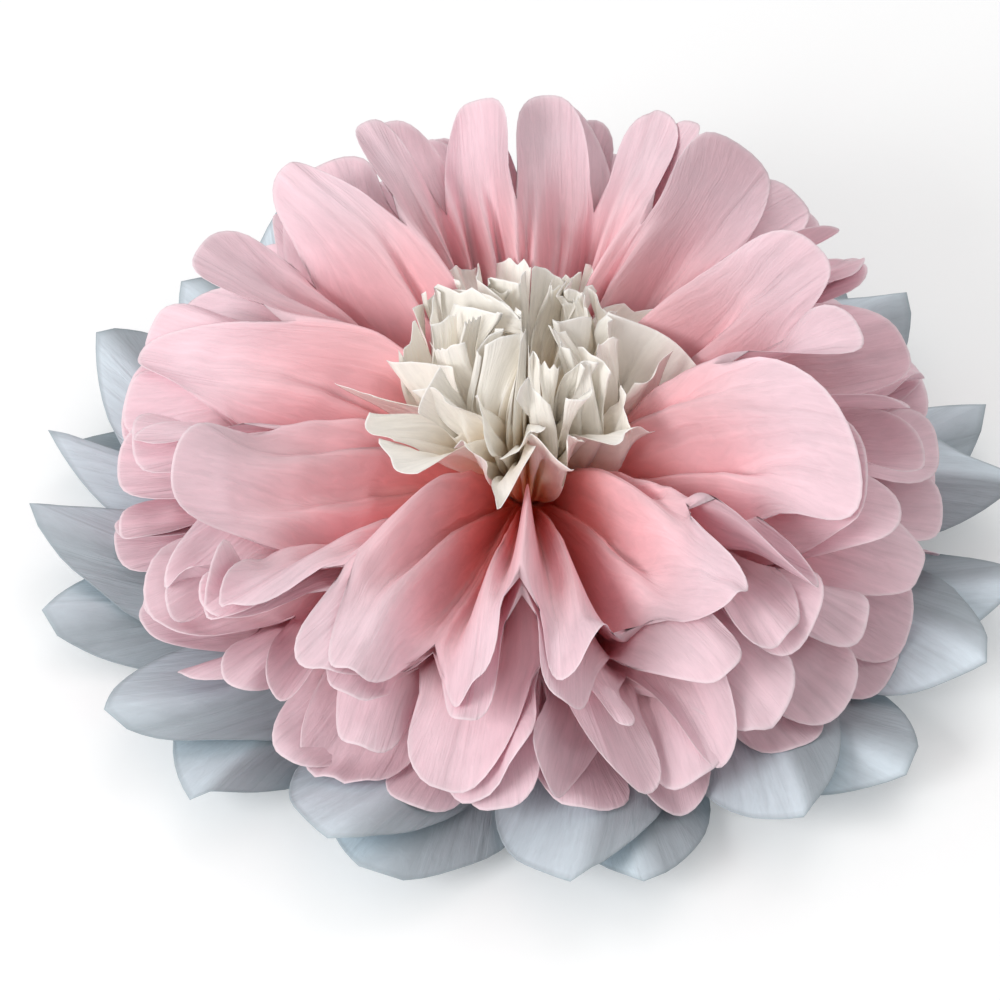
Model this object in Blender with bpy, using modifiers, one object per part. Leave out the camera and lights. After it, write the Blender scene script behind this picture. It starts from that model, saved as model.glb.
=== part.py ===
"""Paper flower: tissue sheets folded like an accordion, tied across the middle and fanned out.

Two leaf sheets lie lowest, six petal sheets open above them like a bowl, and three
short centre sheets stand in the middle. Every sheet is cut flat first and then folded:
its two ends fan out to half a circle each, and its waist is gathered in the wire tie.

A point of a folded sheet is given by its reach from the knot, its bearing round the
flower and its lift above the level of the knot. At every bearing and reach each sheet
has more lift than the sheet below it, so no two sheets meet.
"""

import bisect
import math
import random

import bmesh
import bpy

# Flat cuts of the sheets, in metres
PETAL_SHEET_WIDTH = 0.350
PETAL_SHEET_LENGTH = 0.250
PETAL_ROUND_LENGTH = 0.034
PETAL_ROUND_POWER = 2.8
LEAF_SHEET_WIDTH = 0.350
LEAF_SHEET_LENGTH = 0.300
LEAF_POINT_LENGTH = 0.052
CENTRE_SHEET_WIDTH = 0.180
CENTRE_SHEET_LENGTH = 0.150
CENTRE_SLIT_LENGTH = 0.026
CENTRE_SLIT_WIDTH = 0.0012

# Numbers of sheets, and of panels between the folds of each sheet
LEAF_SHEETS = 2
PETAL_SHEETS = 6
CENTRE_SHEETS = 3
LEAF_PANELS = 12
PETAL_PANELS = 10
CENTRE_PANELS = 10

# Paper, as thick as a solid needs it, and the air between two sheets
PAPER_THICKNESS = 0.0003
PAPER_GAP = 0.0003

# Knot where the waists of the sheets are gathered
KNOT_HEIGHT = 0.020
KNOT_WIDTH = 0.0090
KNOT_DEPTH = 0.0070
KNOT_ROUNDING = 1.17
SPRING_REACH = 0.009
SIDE_SLIT_WIDTH = 0.0020
WAIST_EDGE_BEARING = math.radians(28)

# Wire tie round the knot, with its twisted tail under the flower
WIRE_DIAMETER = 0.0010
WIRE_GAP = 0.0003
TAIL_LENGTH = 0.024
TAIL_TWISTS = 2.5

# Lift of the sheets, in degrees above the level of the knot
OUTER_PETAL_LIFT = 3.0
INNER_PETAL_LIFT = 36.0
OUTER_PETAL_LEAN = 3.0
INNER_PETAL_LEAN = 12.0
PETAL_LEAN_BEARING = math.radians(60)
LOW_CENTRE_LIFT = 54.0
HIGH_CENTRE_LIFT = 69.0
CENTRE_LEAN = -5.0
LOWEST_SPRING_LIFT = -36.0
HIGHEST_SPRING_LIFT = 64.0
PETAL_CURL = 8.0

# Leaves: where they leave the knot and come down to the floor, and the height of their crease
LEAF_RISE_REACH = 0.024
LEAF_TOUCH_REACH = 0.056
LEAF_CREASE_HEIGHT = 0.006

# Pleats: the share of the full fold height that is left, and their tallest angle
PLEAT_SHARE = 0.72
PLEAT_OPEN_SHARE = 0.42
LEAF_PLEAT_LIFT = 10.0
OUTER_PETAL_PLEAT_LIFT = 24.0
INNER_PETAL_PLEAT_LIFT = 18.0
LOW_CENTRE_PLEAT_LIFT = 11.0
HIGH_CENTRE_PLEAT_LIFT = 8.0

# Hand work: folds stray by a share of a panel and by degrees, and sheets are twisted
LOOSE_SHARE = 0.45
FOLD_STRAY = 0.34
LIFT_STRAY = 5.0
TIP_STRAY = 5.0
PETAL_TWISTS = (-4.0, 0.5, 4.6, 1.0, -3.5, 1.0)
CENTRE_TWIST = 2.5
LEAF_TWISTS = (2.6, -10.0)
SEED = 11

# Least lift between neighbours: steep pleats need more than the paper and its gap
STEEP_PLEAT_FACTOR = 2.4
FACET_MARGIN = math.radians(1.6)
OPEN_REACH = 0.025
REACH_TESTS = 4
REST_ROUNDS = 12
REST_CLOSE_ENOUGH = math.radians(0.02)

PINK = (0.90, 0.62, 0.66, 1.0)
GREY_BLUE = (0.55, 0.63, 0.68, 1.0)
IVORY = (0.94, 0.88, 0.76, 1.0)
WIRE_GREY = (0.35, 0.36, 0.36, 1.0)

SHEET_COUNT = LEAF_SHEETS + PETAL_SHEETS + CENTRE_SHEETS
SHEET_PITCH = PAPER_THICKNESS + PAPER_GAP
STACK_HALF_HEIGHT = SHEET_PITCH * (SHEET_COUNT - 1) / 2
FAR, NEAR = 1, -1


def ease(value, low, high):
    """Rise smoothly from 0 at low to 1 at high."""
    share = min(max((value - low) / (high - low), 0.0), 1.0)
    return share * share * (3.0 - 2.0 * share)


def mix(first, second, share):
    """Value between two others."""
    return first + (second - first) * share


class Sheet:
    """A sheet of tissue: its flat cut, and where its folds go when it is fanned out."""

    def __init__(self, name, level, width, length, end_length, panels, twist):
        self.name = name
        self.level = level
        self.half_length = length / 2
        self.notch = length / 2 - end_length
        self.end_length = end_length
        self.panels = panels
        self.panel_width = width / panels
        self.twist = math.radians(twist)
        self.hand = random.Random(SEED + level)
        self.reaches = [SPRING_REACH, *self.inner_reaches(), self.notch, self.half_length]
        self.columns = [(FAR, fold) for fold in range(panels + 1)]
        self.columns += [(NEAR, fold) for fold in range(panels, -1, -1)]
        self.bearings, self.lifts = self.fan_out()

    def inner_reaches(self):
        """Reaches of the rows of corners between the knot and the notches."""
        return [self.notch * share for share in (0.22, 0.44, 0.74)]

    def fan_out(self):
        """Bearing and wanted lift of every fold, row by row from the knot to the tips."""
        strays = self.draw_strays()
        bearings = []
        lifts = []
        for reach in self.reaches:
            loose = ease(reach, LOOSE_SHARE * self.half_length, self.half_length)
            row_bearings = []
            row_lifts = []
            for (side, fold), (bearing_stray, lift_stray, tip_stray) in zip(self.columns, strays):
                bearing = fold_bearing(side, fold / self.panels, reach)
                bearing += loose * (self.twist + bearing_stray)
                lift = self.wanted_lift(fold, bearing, reach) + loose * lift_stray
                if reach == self.half_length:
                    lift += tip_stray
                row_bearings.append(bearing)
                row_lifts.append(lift)
            bearings.append(row_bearings)
            lifts.append(row_lifts)
        return bearings, lifts

    def draw_strays(self):
        """How far each fold strays from its even place, in bearing, in lift and at its tip."""
        strays = []
        for _, fold in self.columns:
            bearing_stray = self.hand.uniform(-1, 1) * FOLD_STRAY * math.pi / self.panels
            if fold in (0, self.panels):
                bearing_stray = 0.0
            lift_stray = self.hand.uniform(-1, 1) * math.radians(LIFT_STRAY)
            tip_stray = self.hand.uniform(-1, 1) * math.radians(TIP_STRAY)
            strays.append((bearing_stray, lift_stray, tip_stray))
        return strays

    def wanted_lift(self, fold, bearing, reach):
        """Lift that a fold would have if no other sheet were in its way."""
        raise NotImplementedError

    def pleat_lift(self, lift, reach, tallest):
        """Angle between valley and hill folds that the width of a panel leaves at a reach."""
        spread = reach * math.cos(lift) * math.pi / self.panels
        height = math.sqrt(max(self.panel_width**2 - spread**2, 0.0))
        full = math.asin(min(height / reach, 1.0))
        opening = ease(reach, SPRING_REACH, PLEAT_OPEN_SHARE * self.half_length)
        return min(PLEAT_SHARE * full, math.radians(tallest) * opening)

    def ring_at(self, reach):
        """The sheet at a reach, all the way round, as corners of (bearing, lift, column).

        The corners are the folds, and the places where the diagonals of the panels cross.
        """
        row = self.row_at(reach)
        share = (reach - self.reaches[row]) / (self.reaches[row + 1] - self.reaches[row])
        ring = []
        for column in range(len(self.columns)):
            ring.append((*self.between((row, column), (row + 1, column), share), column))
            following = column + 1
            if following % (self.panels + 1) and row < self.creased_rows():
                hill, valley = (column, following) if self.is_hill(column) else (following, column)
                ring.append((*self.between((row, hill), (row + 1, valley), share), column))
        return ring

    def creased_rows(self):
        """Number of rows of panels that are split from hill to valley: all but the shaped ends."""
        return len(self.reaches) - 2

    def row_at(self, reach):
        """Row of corners at or below a reach."""
        return min(bisect.bisect_right(self.reaches, reach) - 1, len(self.reaches) - 2)

    def is_hill(self, column):
        """Whether a column of corners is a hill fold."""
        return self.columns[column][1] % 2 == 1

    def between(self, first, second, share):
        """Bearing and lift between two corners, each given by its row and column."""
        bearing = mix(self.bearings[first[0]][first[1]], self.bearings[second[0]][second[1]], share)
        return bearing, mix(self.lifts[first[0]][first[1]], self.lifts[second[0]][second[1]], share)

    def covers(self, reach):
        """Whether the folded part of the sheet reaches this far."""
        return SPRING_REACH < reach <= self.half_length

    def lift_at(self, bearing, ring):
        """Lift on a ring of the sheet at any bearing, with the column that it follows."""
        turn = 2 * math.pi
        start = ring[0][0]
        bearing = start + (bearing - start) % turn
        place = bisect.bisect_right(ring, bearing, key=lambda corner: corner[0]) - 1
        low = ring[place]
        high = ring[(place + 1) % len(ring)]
        high_bearing = high[0] if high[0] > low[0] else high[0] + turn
        return mix(low[1], high[1], (bearing - low[0]) / (high_bearing - low[0])), low[2]

    def rest_on(self, lower):
        """Raise the folds of this sheet until it clears the sheet below everywhere."""
        for _ in range(REST_ROUNDS):
            raised = 0.0
            for reach in self.test_reaches():
                if lower.covers(reach):
                    least = least_lift(reach)
                    lower_ring = lower.ring_at(reach)
                    for bearing, _, _ in self.ring_at(reach):
                        floor = lower.lift_at(bearing, lower_ring)[0] + least
                        raised = max(raised, self.clear(bearing, reach, floor))
                    for bearing, lift, _ in lower_ring:
                        raised = max(raised, self.clear(bearing, reach, lift + least))
            if raised < REST_CLOSE_ENOUGH:
                return

    def test_reaches(self):
        """Reaches at which neighbours are compared: first the rows, then places between them."""
        bands = list(zip(self.reaches, self.reaches[1:]))
        steps = [step / REACH_TESTS for step in range(1, REACH_TESTS)]
        return self.reaches + [mix(low, high, step) for step in steps for low, high in bands]

    def clear(self, bearing, reach, floor):
        """Raise the corners round a point of the sheet, the nearest ones most, up to a floor."""
        lift, column = self.lift_at(bearing, self.ring_at(reach))
        if lift >= floor:
            return 0.0
        row = self.row_at(reach)
        outward = (reach - self.reaches[row]) / (self.reaches[row + 1] - self.reaches[row])
        following = (column + 1) % len(self.columns)
        start, end = (self.between((row, side), (row + 1, side), outward)[0] for side in (column, following))
        turn = 2 * math.pi
        across = ((bearing - start) % turn) / ((end - start) % turn)
        weights = {
            (row, column): (1 - outward) * (1 - across),
            (row, following): (1 - outward) * across,
            (row + 1, column): outward * (1 - across),
            (row + 1, following): outward * across,
        }
        total = sum(weight**2 for weight in weights.values())
        for (corner_row, corner_column), weight in weights.items():
            self.lifts[corner_row][corner_column] += (floor - lift) * weight / total
        return floor - lift

    def folded_point(self, flat_x, flat_y):
        """Place in the flower of a point of the flat sheet, measured from its middle."""
        side = FAR if flat_y > 0 else NEAR
        across = flat_x / self.panel_width + self.panels / 2
        reach = abs(flat_y)
        if reach < SPRING_REACH:
            return knot_point(side, across / self.panels, self.level)
        fold = min(int(across + 1e-6), self.panels - 1)
        row = self.row_at(reach)
        share = (reach - self.reaches[row]) / (self.reaches[row + 1] - self.reaches[row])
        columns = [self.columns.index((side, fold)), self.columns.index((side, fold + 1))]
        places = [self.between((row, column), (row + 1, column), share) for column in columns]
        bearing, lift = (mix(*pair, across - fold) for pair in zip(*places))
        level_reach = reach * math.cos(lift)
        height = KNOT_HEIGHT + reach * math.sin(lift)
        return (level_reach * math.cos(bearing), level_reach * math.sin(bearing), height)

    def end_outline(self):
        """Corners of one panel's cut end as (share of the panel, share of the end length)."""
        raise NotImplementedError

    def flat_cut(self):
        """The flat sheet with its fold lines and its shaped ends."""
        rows = [SPRING_REACH / 2, *self.reaches[:-1]]
        flat = bmesh.new()
        bmesh.ops.create_grid(flat, x_segments=self.panels, y_segments=2 * len(rows) - 1, size=1)
        heights = [-row for row in reversed(rows)] + rows
        for corner in flat.verts:
            fold = round((corner.co.x + 1) / 2 * self.panels)
            row = round((corner.co.y + 1) / 2 * (2 * len(rows) - 1))
            corner.co = ((fold - self.panels / 2) * self.panel_width, heights[row], 0)
        self.crease_panels(flat)
        self.shape_ends(flat)
        bmesh.ops.triangulate(flat, faces=flat.faces, quad_method="FIXED", ngon_method="BEAUTY")
        return flat

    def crease_panels(self, flat):
        """Split each panel from its inner corner on the hill fold to its outer one on the valley."""
        for face in list(flat.faces):
            rows = sorted({abs(corner.co.y) for corner in face.verts})
            if len(rows) == 2:
                inner = [corner for corner in face.verts if abs(corner.co.y) == rows[0]]
                outer = [corner for corner in face.verts if abs(corner.co.y) == rows[1]]
                hill = next(corner for corner in inner if self.fold_of(corner) % 2)
                valley = next(corner for corner in outer if not self.fold_of(corner) % 2)
                bmesh.utils.face_split(face, hill, valley)

    def fold_of(self, corner):
        """Number of the fold that a flat corner lies on."""
        return round(corner.co.x / self.panel_width + self.panels / 2)

    def shape_ends(self, flat):
        """Cut the two ends of the flat sheet to the outline of its panels."""
        ends = [edge for edge in flat.edges if self.at_notches(edge.verts)]
        outline = self.end_outline()
        for edge in ends:
            left = min(corner.co.x for corner in edge.verts)
            side = math.copysign(1, edge.verts[0].co.y)
            made = bmesh.ops.subdivide_edges(flat, edges=[edge], cuts=len(outline))
            corners = [part for part in made["geom_inner"] if isinstance(part, bmesh.types.BMVert)]
            corners.sort(key=lambda corner: corner.co.x)
            for corner, (across, outward) in zip(corners, outline):
                corner.co.x = left + across * self.panel_width
                corner.co.y = side * (self.notch + outward * self.end_length)
        flat.verts.ensure_lookup_table()
        bmesh.ops.connect_verts(flat, verts=[corner for corner in flat.verts if self.at_notches([corner])])

    def at_notches(self, corners):
        """Whether flat corners all lie on a line through the notches."""
        return all(abs(abs(corner.co.y) - self.notch) < 1e-6 for corner in corners)

    def build(self, material):
        """Fold the flat cut into its place in the flower and give it its thickness."""
        flat = self.flat_cut()
        for corner in flat.verts:
            corner.co = self.folded_point(corner.co.x, corner.co.y)
        mesh = bpy.data.meshes.new(self.name)
        flat.to_mesh(mesh)
        flat.free()
        mesh.shade_smooth()
        mesh.set_sharp_from_angle(angle=math.radians(35))
        sheet = bpy.data.objects.new(self.name, mesh)
        sheet.data.materials.append(material)
        paper = sheet.modifiers.new("Paper", "SOLIDIFY")
        paper.thickness = PAPER_THICKNESS
        paper.offset = 0.0
        return sheet


class PetalSheet(Sheet):
    """A petal sheet: every panel ends in a round petal."""

    def __init__(self, name, level, place):
        self.lift = math.radians(mix(OUTER_PETAL_LIFT, INNER_PETAL_LIFT, place))
        self.lean = math.radians(mix(OUTER_PETAL_LEAN, INNER_PETAL_LEAN, place))
        self.tallest_pleat = mix(OUTER_PETAL_PLEAT_LIFT, INNER_PETAL_PLEAT_LIFT, place)
        twist = PETAL_TWISTS[level - LEAF_SHEETS]
        size = (PETAL_SHEET_WIDTH, PETAL_SHEET_LENGTH, PETAL_ROUND_LENGTH)
        super().__init__(name, level, *size, PETAL_PANELS, twist)

    def wanted_lift(self, fold, bearing, reach):
        """Springs from the knot, opens to the sheet's own lift and curls out at the tip."""
        if reach <= SPRING_REACH:
            return spring_lift(self.level)
        held = (SPRING_REACH / reach) ** 1.5
        lean = self.lean * math.cos(bearing - PETAL_LEAN_BEARING)
        lift = mix(self.lift + lean, spring_lift(self.level), held)
        lift += math.radians(PETAL_CURL) * (0.5 - (reach / self.half_length) ** 2)
        pleat = self.pleat_lift(self.lift, reach, self.tallest_pleat)
        return lift + pleat * fold_side(fold)

    def end_outline(self):
        """A round tip, with nearly straight sides down to the notches."""
        left = [0.03, 0.13, 0.33]
        shares = left + [1 - share for share in reversed(left)]
        return [(share, math.sqrt(1 - (abs(2 * share - 1)) ** PETAL_ROUND_POWER)) for share in shares]


class LeafSheet(Sheet):
    """A leaf sheet: every hill fold is the crease of a pointed leaf that lies on the floor."""

    def __init__(self, name, level):
        self.crease_height = LEAF_CREASE_HEIGHT * level
        size = (LEAF_SHEET_WIDTH, LEAF_SHEET_LENGTH, LEAF_POINT_LENGTH)
        super().__init__(name, level, *size, LEAF_PANELS, LEAF_TWISTS[level])

    def inner_reaches(self):
        """The leaves rise and come down to the floor, and lie flat on it from the notches on."""
        return [LEAF_RISE_REACH, LEAF_TOUCH_REACH]

    def draw_strays(self):
        """Leaves stray only sideways, and both ends alike, so that they reach as far all round."""
        far_end = [(stray[0], 0.0, 0.0) for stray in super().draw_strays()[: self.panels + 1]]
        return far_end + far_end

    def wanted_lift(self, fold, bearing, reach):
        """Comes down from the knot to the floor and lies on it at the end."""
        if reach <= SPRING_REACH:
            return spring_lift(self.level)
        spring_height = KNOT_HEIGHT + SPRING_REACH * math.sin(spring_lift(self.level))
        left = 1 - ease(reach, SPRING_REACH, LEAF_TOUCH_REACH)
        height = PAPER_THICKNESS / 2 + spring_height * left
        flat = ease(reach, LEAF_TOUCH_REACH, self.notch)
        if fold % 2:
            height += self.crease_height * flat
        lift = math.asin((height - KNOT_HEIGHT) / reach)
        pleat = self.pleat_lift(lift, reach, LEAF_PLEAT_LIFT) * (1 - flat)
        return lift + pleat * (fold_side(fold) + 0.5)

    def between(self, first, second, share):
        """Bearing and lift between two corners: a leaf is straight in height, to lie flat."""
        bearing = super().between(first, second, share)[0]
        rows = (first[0], second[0])
        reach = mix(*(self.reaches[row] for row in rows), share)
        heights = [self.reaches[row] * math.sin(self.lifts[row][column]) for row, column in (first, second)]
        return bearing, math.asin(mix(*heights, share) / reach)

    def shape_ends(self, flat):
        """Draw both ends out to a point at every hill fold, with bowed sides down to the notches."""
        ends = [edge for edge in flat.edges if self.at_notches(edge.verts)]
        drawn = bmesh.ops.extrude_edge_only(flat, edges=ends)["geom"]
        for point in [part for part in drawn if isinstance(part, bmesh.types.BMVert)]:
            if self.fold_of(point) % 2:
                point.co.y = math.copysign(self.half_length, point.co.y)
        bmesh.ops.remove_doubles(flat, verts=flat.verts, dist=1e-6)
        sides = [edge for edge in flat.edges if edge.is_boundary and self.ends_in_point(edge)]
        made = bmesh.ops.subdivide_edges(flat, edges=sides, cuts=3)
        for corner in [part for part in made["geom_inner"] if isinstance(part, bmesh.types.BMVert)]:
            place = corner.co.x / self.panel_width + self.panels / 2
            outward = math.sqrt(1 - abs(place % 2 - 1))
            corner.co.y = math.copysign(self.notch + outward * self.end_length, corner.co.y)

    def ends_in_point(self, edge):
        """Whether a flat edge runs from a notch to the point of a leaf."""
        return max(abs(corner.co.y) for corner in edge.verts) > self.notch + 1e-6


class CentreSheet(Sheet):
    """A centre sheet: every panel is slit from its neighbours and cut off square."""

    def __init__(self, name, level, place):
        self.lift = math.radians(mix(LOW_CENTRE_LIFT, HIGH_CENTRE_LIFT, place))
        self.tallest_pleat = mix(LOW_CENTRE_PLEAT_LIFT, HIGH_CENTRE_PLEAT_LIFT, place)
        size = (CENTRE_SHEET_WIDTH, CENTRE_SHEET_LENGTH, CENTRE_SLIT_LENGTH)
        twist = CENTRE_TWIST if level % 2 else -CENTRE_TWIST
        super().__init__(name, level, *size, CENTRE_PANELS, twist)

    def inner_reaches(self):
        """One row halfway to the slits is enough for the short sheets."""
        return [self.notch * 0.5]

    def wanted_lift(self, fold, bearing, reach):
        """Springs from the knot and stands up."""
        if reach <= SPRING_REACH:
            return spring_lift(self.level)
        held = (SPRING_REACH / reach) ** 1.5
        lean = math.radians(CENTRE_LEAN) * math.sin(bearing)
        lift = mix(self.lift + lean, spring_lift(self.level), held)
        return lift + self.pleat_lift(self.lift, reach, self.tallest_pleat) * fold_side(fold)

    def creased_rows(self):
        """The strips are split like the panels that they end."""
        return len(self.reaches) - 1

    def shape_ends(self, flat):
        """Cut the strips, and split them from the hill fold to the valley fold."""
        super().shape_ends(flat)
        for strip in [face for face in flat.faces if not self.within_notches(face)]:
            notches = [corner for corner in strip.verts if self.at_notches([corner])]
            hill = next(corner for corner in notches if self.fold_of(corner) % 2)
            valley = max(strip.verts, key=lambda corner: (corner.co - hill.co).length)
            bmesh.utils.face_split(strip, hill, valley)

    def within_notches(self, face):
        """Whether a face reaches no farther than the notches."""
        return max(abs(corner.co.y) for corner in face.verts) < self.notch + 1e-6

    def end_outline(self):
        """A square end beside each slit."""
        edge = CENTRE_SLIT_WIDTH / 2 / self.panel_width
        return [(edge, 1.0), (1 - edge, 1.0)]


def fold_side(fold):
    """Half the pleat up for a hill fold, half down for a valley fold; side edges are valleys."""
    return 0.5 if fold % 2 else -0.5


def fold_bearing(side, across, reach):
    """Even bearing of a fold: each end of a sheet fans out to half a circle less the slit."""
    slit = math.asin(SIDE_SLIT_WIDTH / 2 / reach)
    bearing = mix(slit, math.pi - slit, across)
    return bearing if side == FAR else 2 * math.pi - bearing


def least_lift(reach):
    """Least angle between neighbouring sheets at a reach."""
    opened = ease(reach, SPRING_REACH, OPEN_REACH)
    return mix(1.0, STEEP_PLEAT_FACTOR, opened) * SHEET_PITCH / reach + opened * FACET_MARGIN


def stack_height(level):
    """Height of a sheet's waist over the middle of the knot."""
    return level * SHEET_PITCH - STACK_HALF_HEIGHT


def spring_lift(level):
    """Lift at which a sheet leaves the knot: the waists fan out evenly from low to high."""
    share = level / (SHEET_COUNT - 1)
    return math.radians(mix(LOWEST_SPRING_LIFT, HIGHEST_SPRING_LIFT, share))


def waist_share(level):
    """Width of a waist as a share of the widest one: the knot is round like an egg."""
    return math.sqrt(1 - (stack_height(level) / (KNOT_ROUNDING * STACK_HALF_HEIGHT)) ** 2)


def knot_point(side, across, level):
    """Corner of a sheet's waist, gathered from the full width of the paper."""
    half_width = KNOT_WIDTH / 2 * waist_share(level)
    half_depth = KNOT_DEPTH / 2 * waist_share(level)
    bearing = mix(WAIST_EDGE_BEARING, math.pi - WAIST_EDGE_BEARING, across)
    height = KNOT_HEIGHT + stack_height(level)
    return (half_width * math.cos(bearing), side * half_depth * math.sin(bearing), height)


def wire_route():
    """Points of the wire: one strand of the tail, the loop round the knot, the other strand."""
    clear = PAPER_THICKNESS / 2 + WIRE_GAP + WIRE_DIAMETER / 2
    half_width = KNOT_WIDTH / 2 + clear
    half_height = KNOT_ROUNDING * STACK_HALF_HEIGHT + clear
    strand_radius = (WIRE_DIAMETER + WIRE_GAP) / 2 + WIRE_GAP / 2
    start = math.asin(strand_radius / half_width)
    loop = []
    for step in range(17):
        turn = mix(start, 2 * math.pi - start, step / 16)
        loop.append((-half_width * math.sin(turn), 0, KNOT_HEIGHT - half_height * math.cos(turn)))
    top = KNOT_HEIGHT - half_height - 0.5 * WIRE_DIAMETER
    first = tail_strand(top, strand_radius, math.pi)
    second = tail_strand(top, strand_radius, 0.0)
    return first[::-1] + loop + second


def tail_strand(top, radius, start_turn):
    """One strand of the twisted tail, which bends over and lies down under the leaves."""
    points = []
    steps = 20
    for step in range(1, steps + 1):
        share = step / steps
        turn = start_turn + 2 * math.pi * TAIL_TWISTS * share
        bend = ease(share, 0.0, 0.55) * math.pi / 2 * 0.97
        centre_x, centre_z = tail_centre(top, share)
        sideways = radius * math.cos(turn)
        across = radius * math.sin(turn)
        x = centre_x + sideways * math.cos(bend)
        z = centre_z + sideways * math.sin(bend)
        points.append((x, across, z))
    return points


def tail_centre(top, share):
    """Middle line of the tail at a share of its length."""
    drop = top - WIRE_DIAMETER * 1.6
    x = TAIL_LENGTH * share**1.5
    z = top - drop * math.sin(share * math.pi / 2)
    return x, z


def add_material(name, colour, roughness, metallic=0.0):
    """Plain finish of one kind of piece."""
    material = bpy.data.materials.new(name)
    material.diffuse_color = colour
    material.use_nodes = True
    shader = material.node_tree.nodes["Principled BSDF"]
    shader.inputs["Base Color"].default_value = colour
    shader.inputs["Roughness"].default_value = roughness
    shader.inputs["Metallic"].default_value = metallic
    return material


def make_sheets():
    """All sheets from the lowest to the highest, each clear of the one below."""
    sheets = [LeafSheet(f"leaf_sheet_{number + 1}", number) for number in range(LEAF_SHEETS)]
    for number in range(PETAL_SHEETS):
        place = number / (PETAL_SHEETS - 1)
        sheets.append(PetalSheet(f"petal_sheet_{number + 1}", len(sheets), place))
    for number in range(CENTRE_SHEETS):
        place = number / (CENTRE_SHEETS - 1)
        sheets.append(CentreSheet(f"centre_sheet_{number + 1}", len(sheets), place))
    for lower, upper in zip(sheets, sheets[1:]):
        upper.rest_on(lower)
    return sheets


def build_wire(material):
    """The wire tie as one bent round wire."""
    curve = bpy.data.curves.new("wire_tie", "CURVE")
    curve.dimensions = "3D"
    curve.bevel_depth = WIRE_DIAMETER / 2
    curve.bevel_resolution = 2
    curve.use_fill_caps = True
    route = wire_route()
    spline = curve.splines.new("POLY")
    spline.points.add(len(route) - 1)
    for point, place in zip(spline.points, route):
        point.co = (*place, 1)
    curve.materials.append(material)
    return bpy.data.objects.new("wire_tie", curve)


def main():
    """Build the flower in a scene of its own."""
    for old in list(bpy.data.objects):
        bpy.data.objects.remove(old, do_unlink=True)
    flower = bpy.data.collections.new("paper_flower")
    bpy.context.scene.collection.children.link(flower)
    tissue = {
        LeafSheet: add_material("grey_blue_tissue", GREY_BLUE, 0.85),
        PetalSheet: add_material("pink_tissue", PINK, 0.85),
        CentreSheet: add_material("ivory_tissue", IVORY, 0.85),
    }
    for sheet in make_sheets():
        flower.objects.link(sheet.build(tissue[type(sheet)]))
    flower.objects.link(build_wire(add_material("wire", WIRE_GREY, 0.4, metallic=0.9)))


main()
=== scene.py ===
"""Looks of the paper flower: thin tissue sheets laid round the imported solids.

Every sheet starts as a flat grid at the size of its cut. Its ends are cut to round petals,
pointed leaves or ragged strips, and it is then folded, fanned out and shaped by hand in
code, with the same folds as the solid that it stands for. The sheets are shaped from the
lowest to the highest, and each one is raised wherever it would touch the one below.
"""

import bisect
import logging
import math
import random
from dataclasses import dataclass, field
from enum import Enum

import bpy
import numpy as np
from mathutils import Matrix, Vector

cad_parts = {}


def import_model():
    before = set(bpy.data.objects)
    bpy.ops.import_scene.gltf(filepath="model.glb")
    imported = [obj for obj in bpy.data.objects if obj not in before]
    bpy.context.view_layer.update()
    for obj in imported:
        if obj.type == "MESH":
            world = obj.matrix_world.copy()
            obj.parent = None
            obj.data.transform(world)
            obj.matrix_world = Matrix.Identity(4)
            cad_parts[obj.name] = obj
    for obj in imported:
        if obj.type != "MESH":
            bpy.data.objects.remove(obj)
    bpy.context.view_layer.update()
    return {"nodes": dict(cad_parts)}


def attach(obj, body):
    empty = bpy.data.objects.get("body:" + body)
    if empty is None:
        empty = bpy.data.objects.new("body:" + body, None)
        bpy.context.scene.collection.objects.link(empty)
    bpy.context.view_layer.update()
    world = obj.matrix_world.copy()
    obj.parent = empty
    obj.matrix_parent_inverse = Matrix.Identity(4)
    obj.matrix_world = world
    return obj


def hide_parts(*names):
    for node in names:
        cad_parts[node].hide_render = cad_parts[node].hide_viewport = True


LOG = logging.getLogger("paper_flower")
TURN = 2 * math.pi
SEED = 11
GATHERS = 40
CLEARING_ROUNDS = 12
CLEAR_ENOUGH = math.radians(0.02)
EASING_ROUNDS = 30
WAIST_ROWS = 2
OUTLINE_STEPS = 60
OUTLINE_MARGIN = 12
CRUMPLE_CELLS = ((0.0045, 0.034), (0.011, 0.060), (0.010, 0.012), (0.055, 0.070))
RESTING_STEPS = ((5, 10), (3, 6), (2, 4), (1, 3), (1, 2))
FLOOR_STEPS = ((3, 6), (2, 4), (1, 3))
STEEPEST = math.radians(87.0)
WELD = 1e-6

Colour = tuple[float, float, float]
Place = tuple[float, float, float]
Span = tuple[float, float]
Socket = bpy.types.NodeSocket


class End(Enum):
    """The two ends of a sheet, by the sign of their side."""

    FAR = 1
    NEAR = -1

    @property
    def row(self) -> int:
        """Row of the end in the tables of hand work."""
        return 0 if self is End.FAR else 1


class Cut(Enum):
    """How the panels of a sheet are cut off at its ends."""

    ROUND = "round"
    POINTED = "pointed"
    RAGGED = "ragged"


@dataclass(frozen=True)
class FlatSheet:
    """A sheet before it is folded.

    Attributes:
        width: Width across all its panels.
        length: Length from one cut end to the other.
        end_length: Length of the shaped end of a panel, from the notches on.
        panels: Number of panels between folds.
        ends: How its panels are cut off.
    """

    width: float
    length: float
    end_length: float
    panels: int
    ends: Cut


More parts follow.
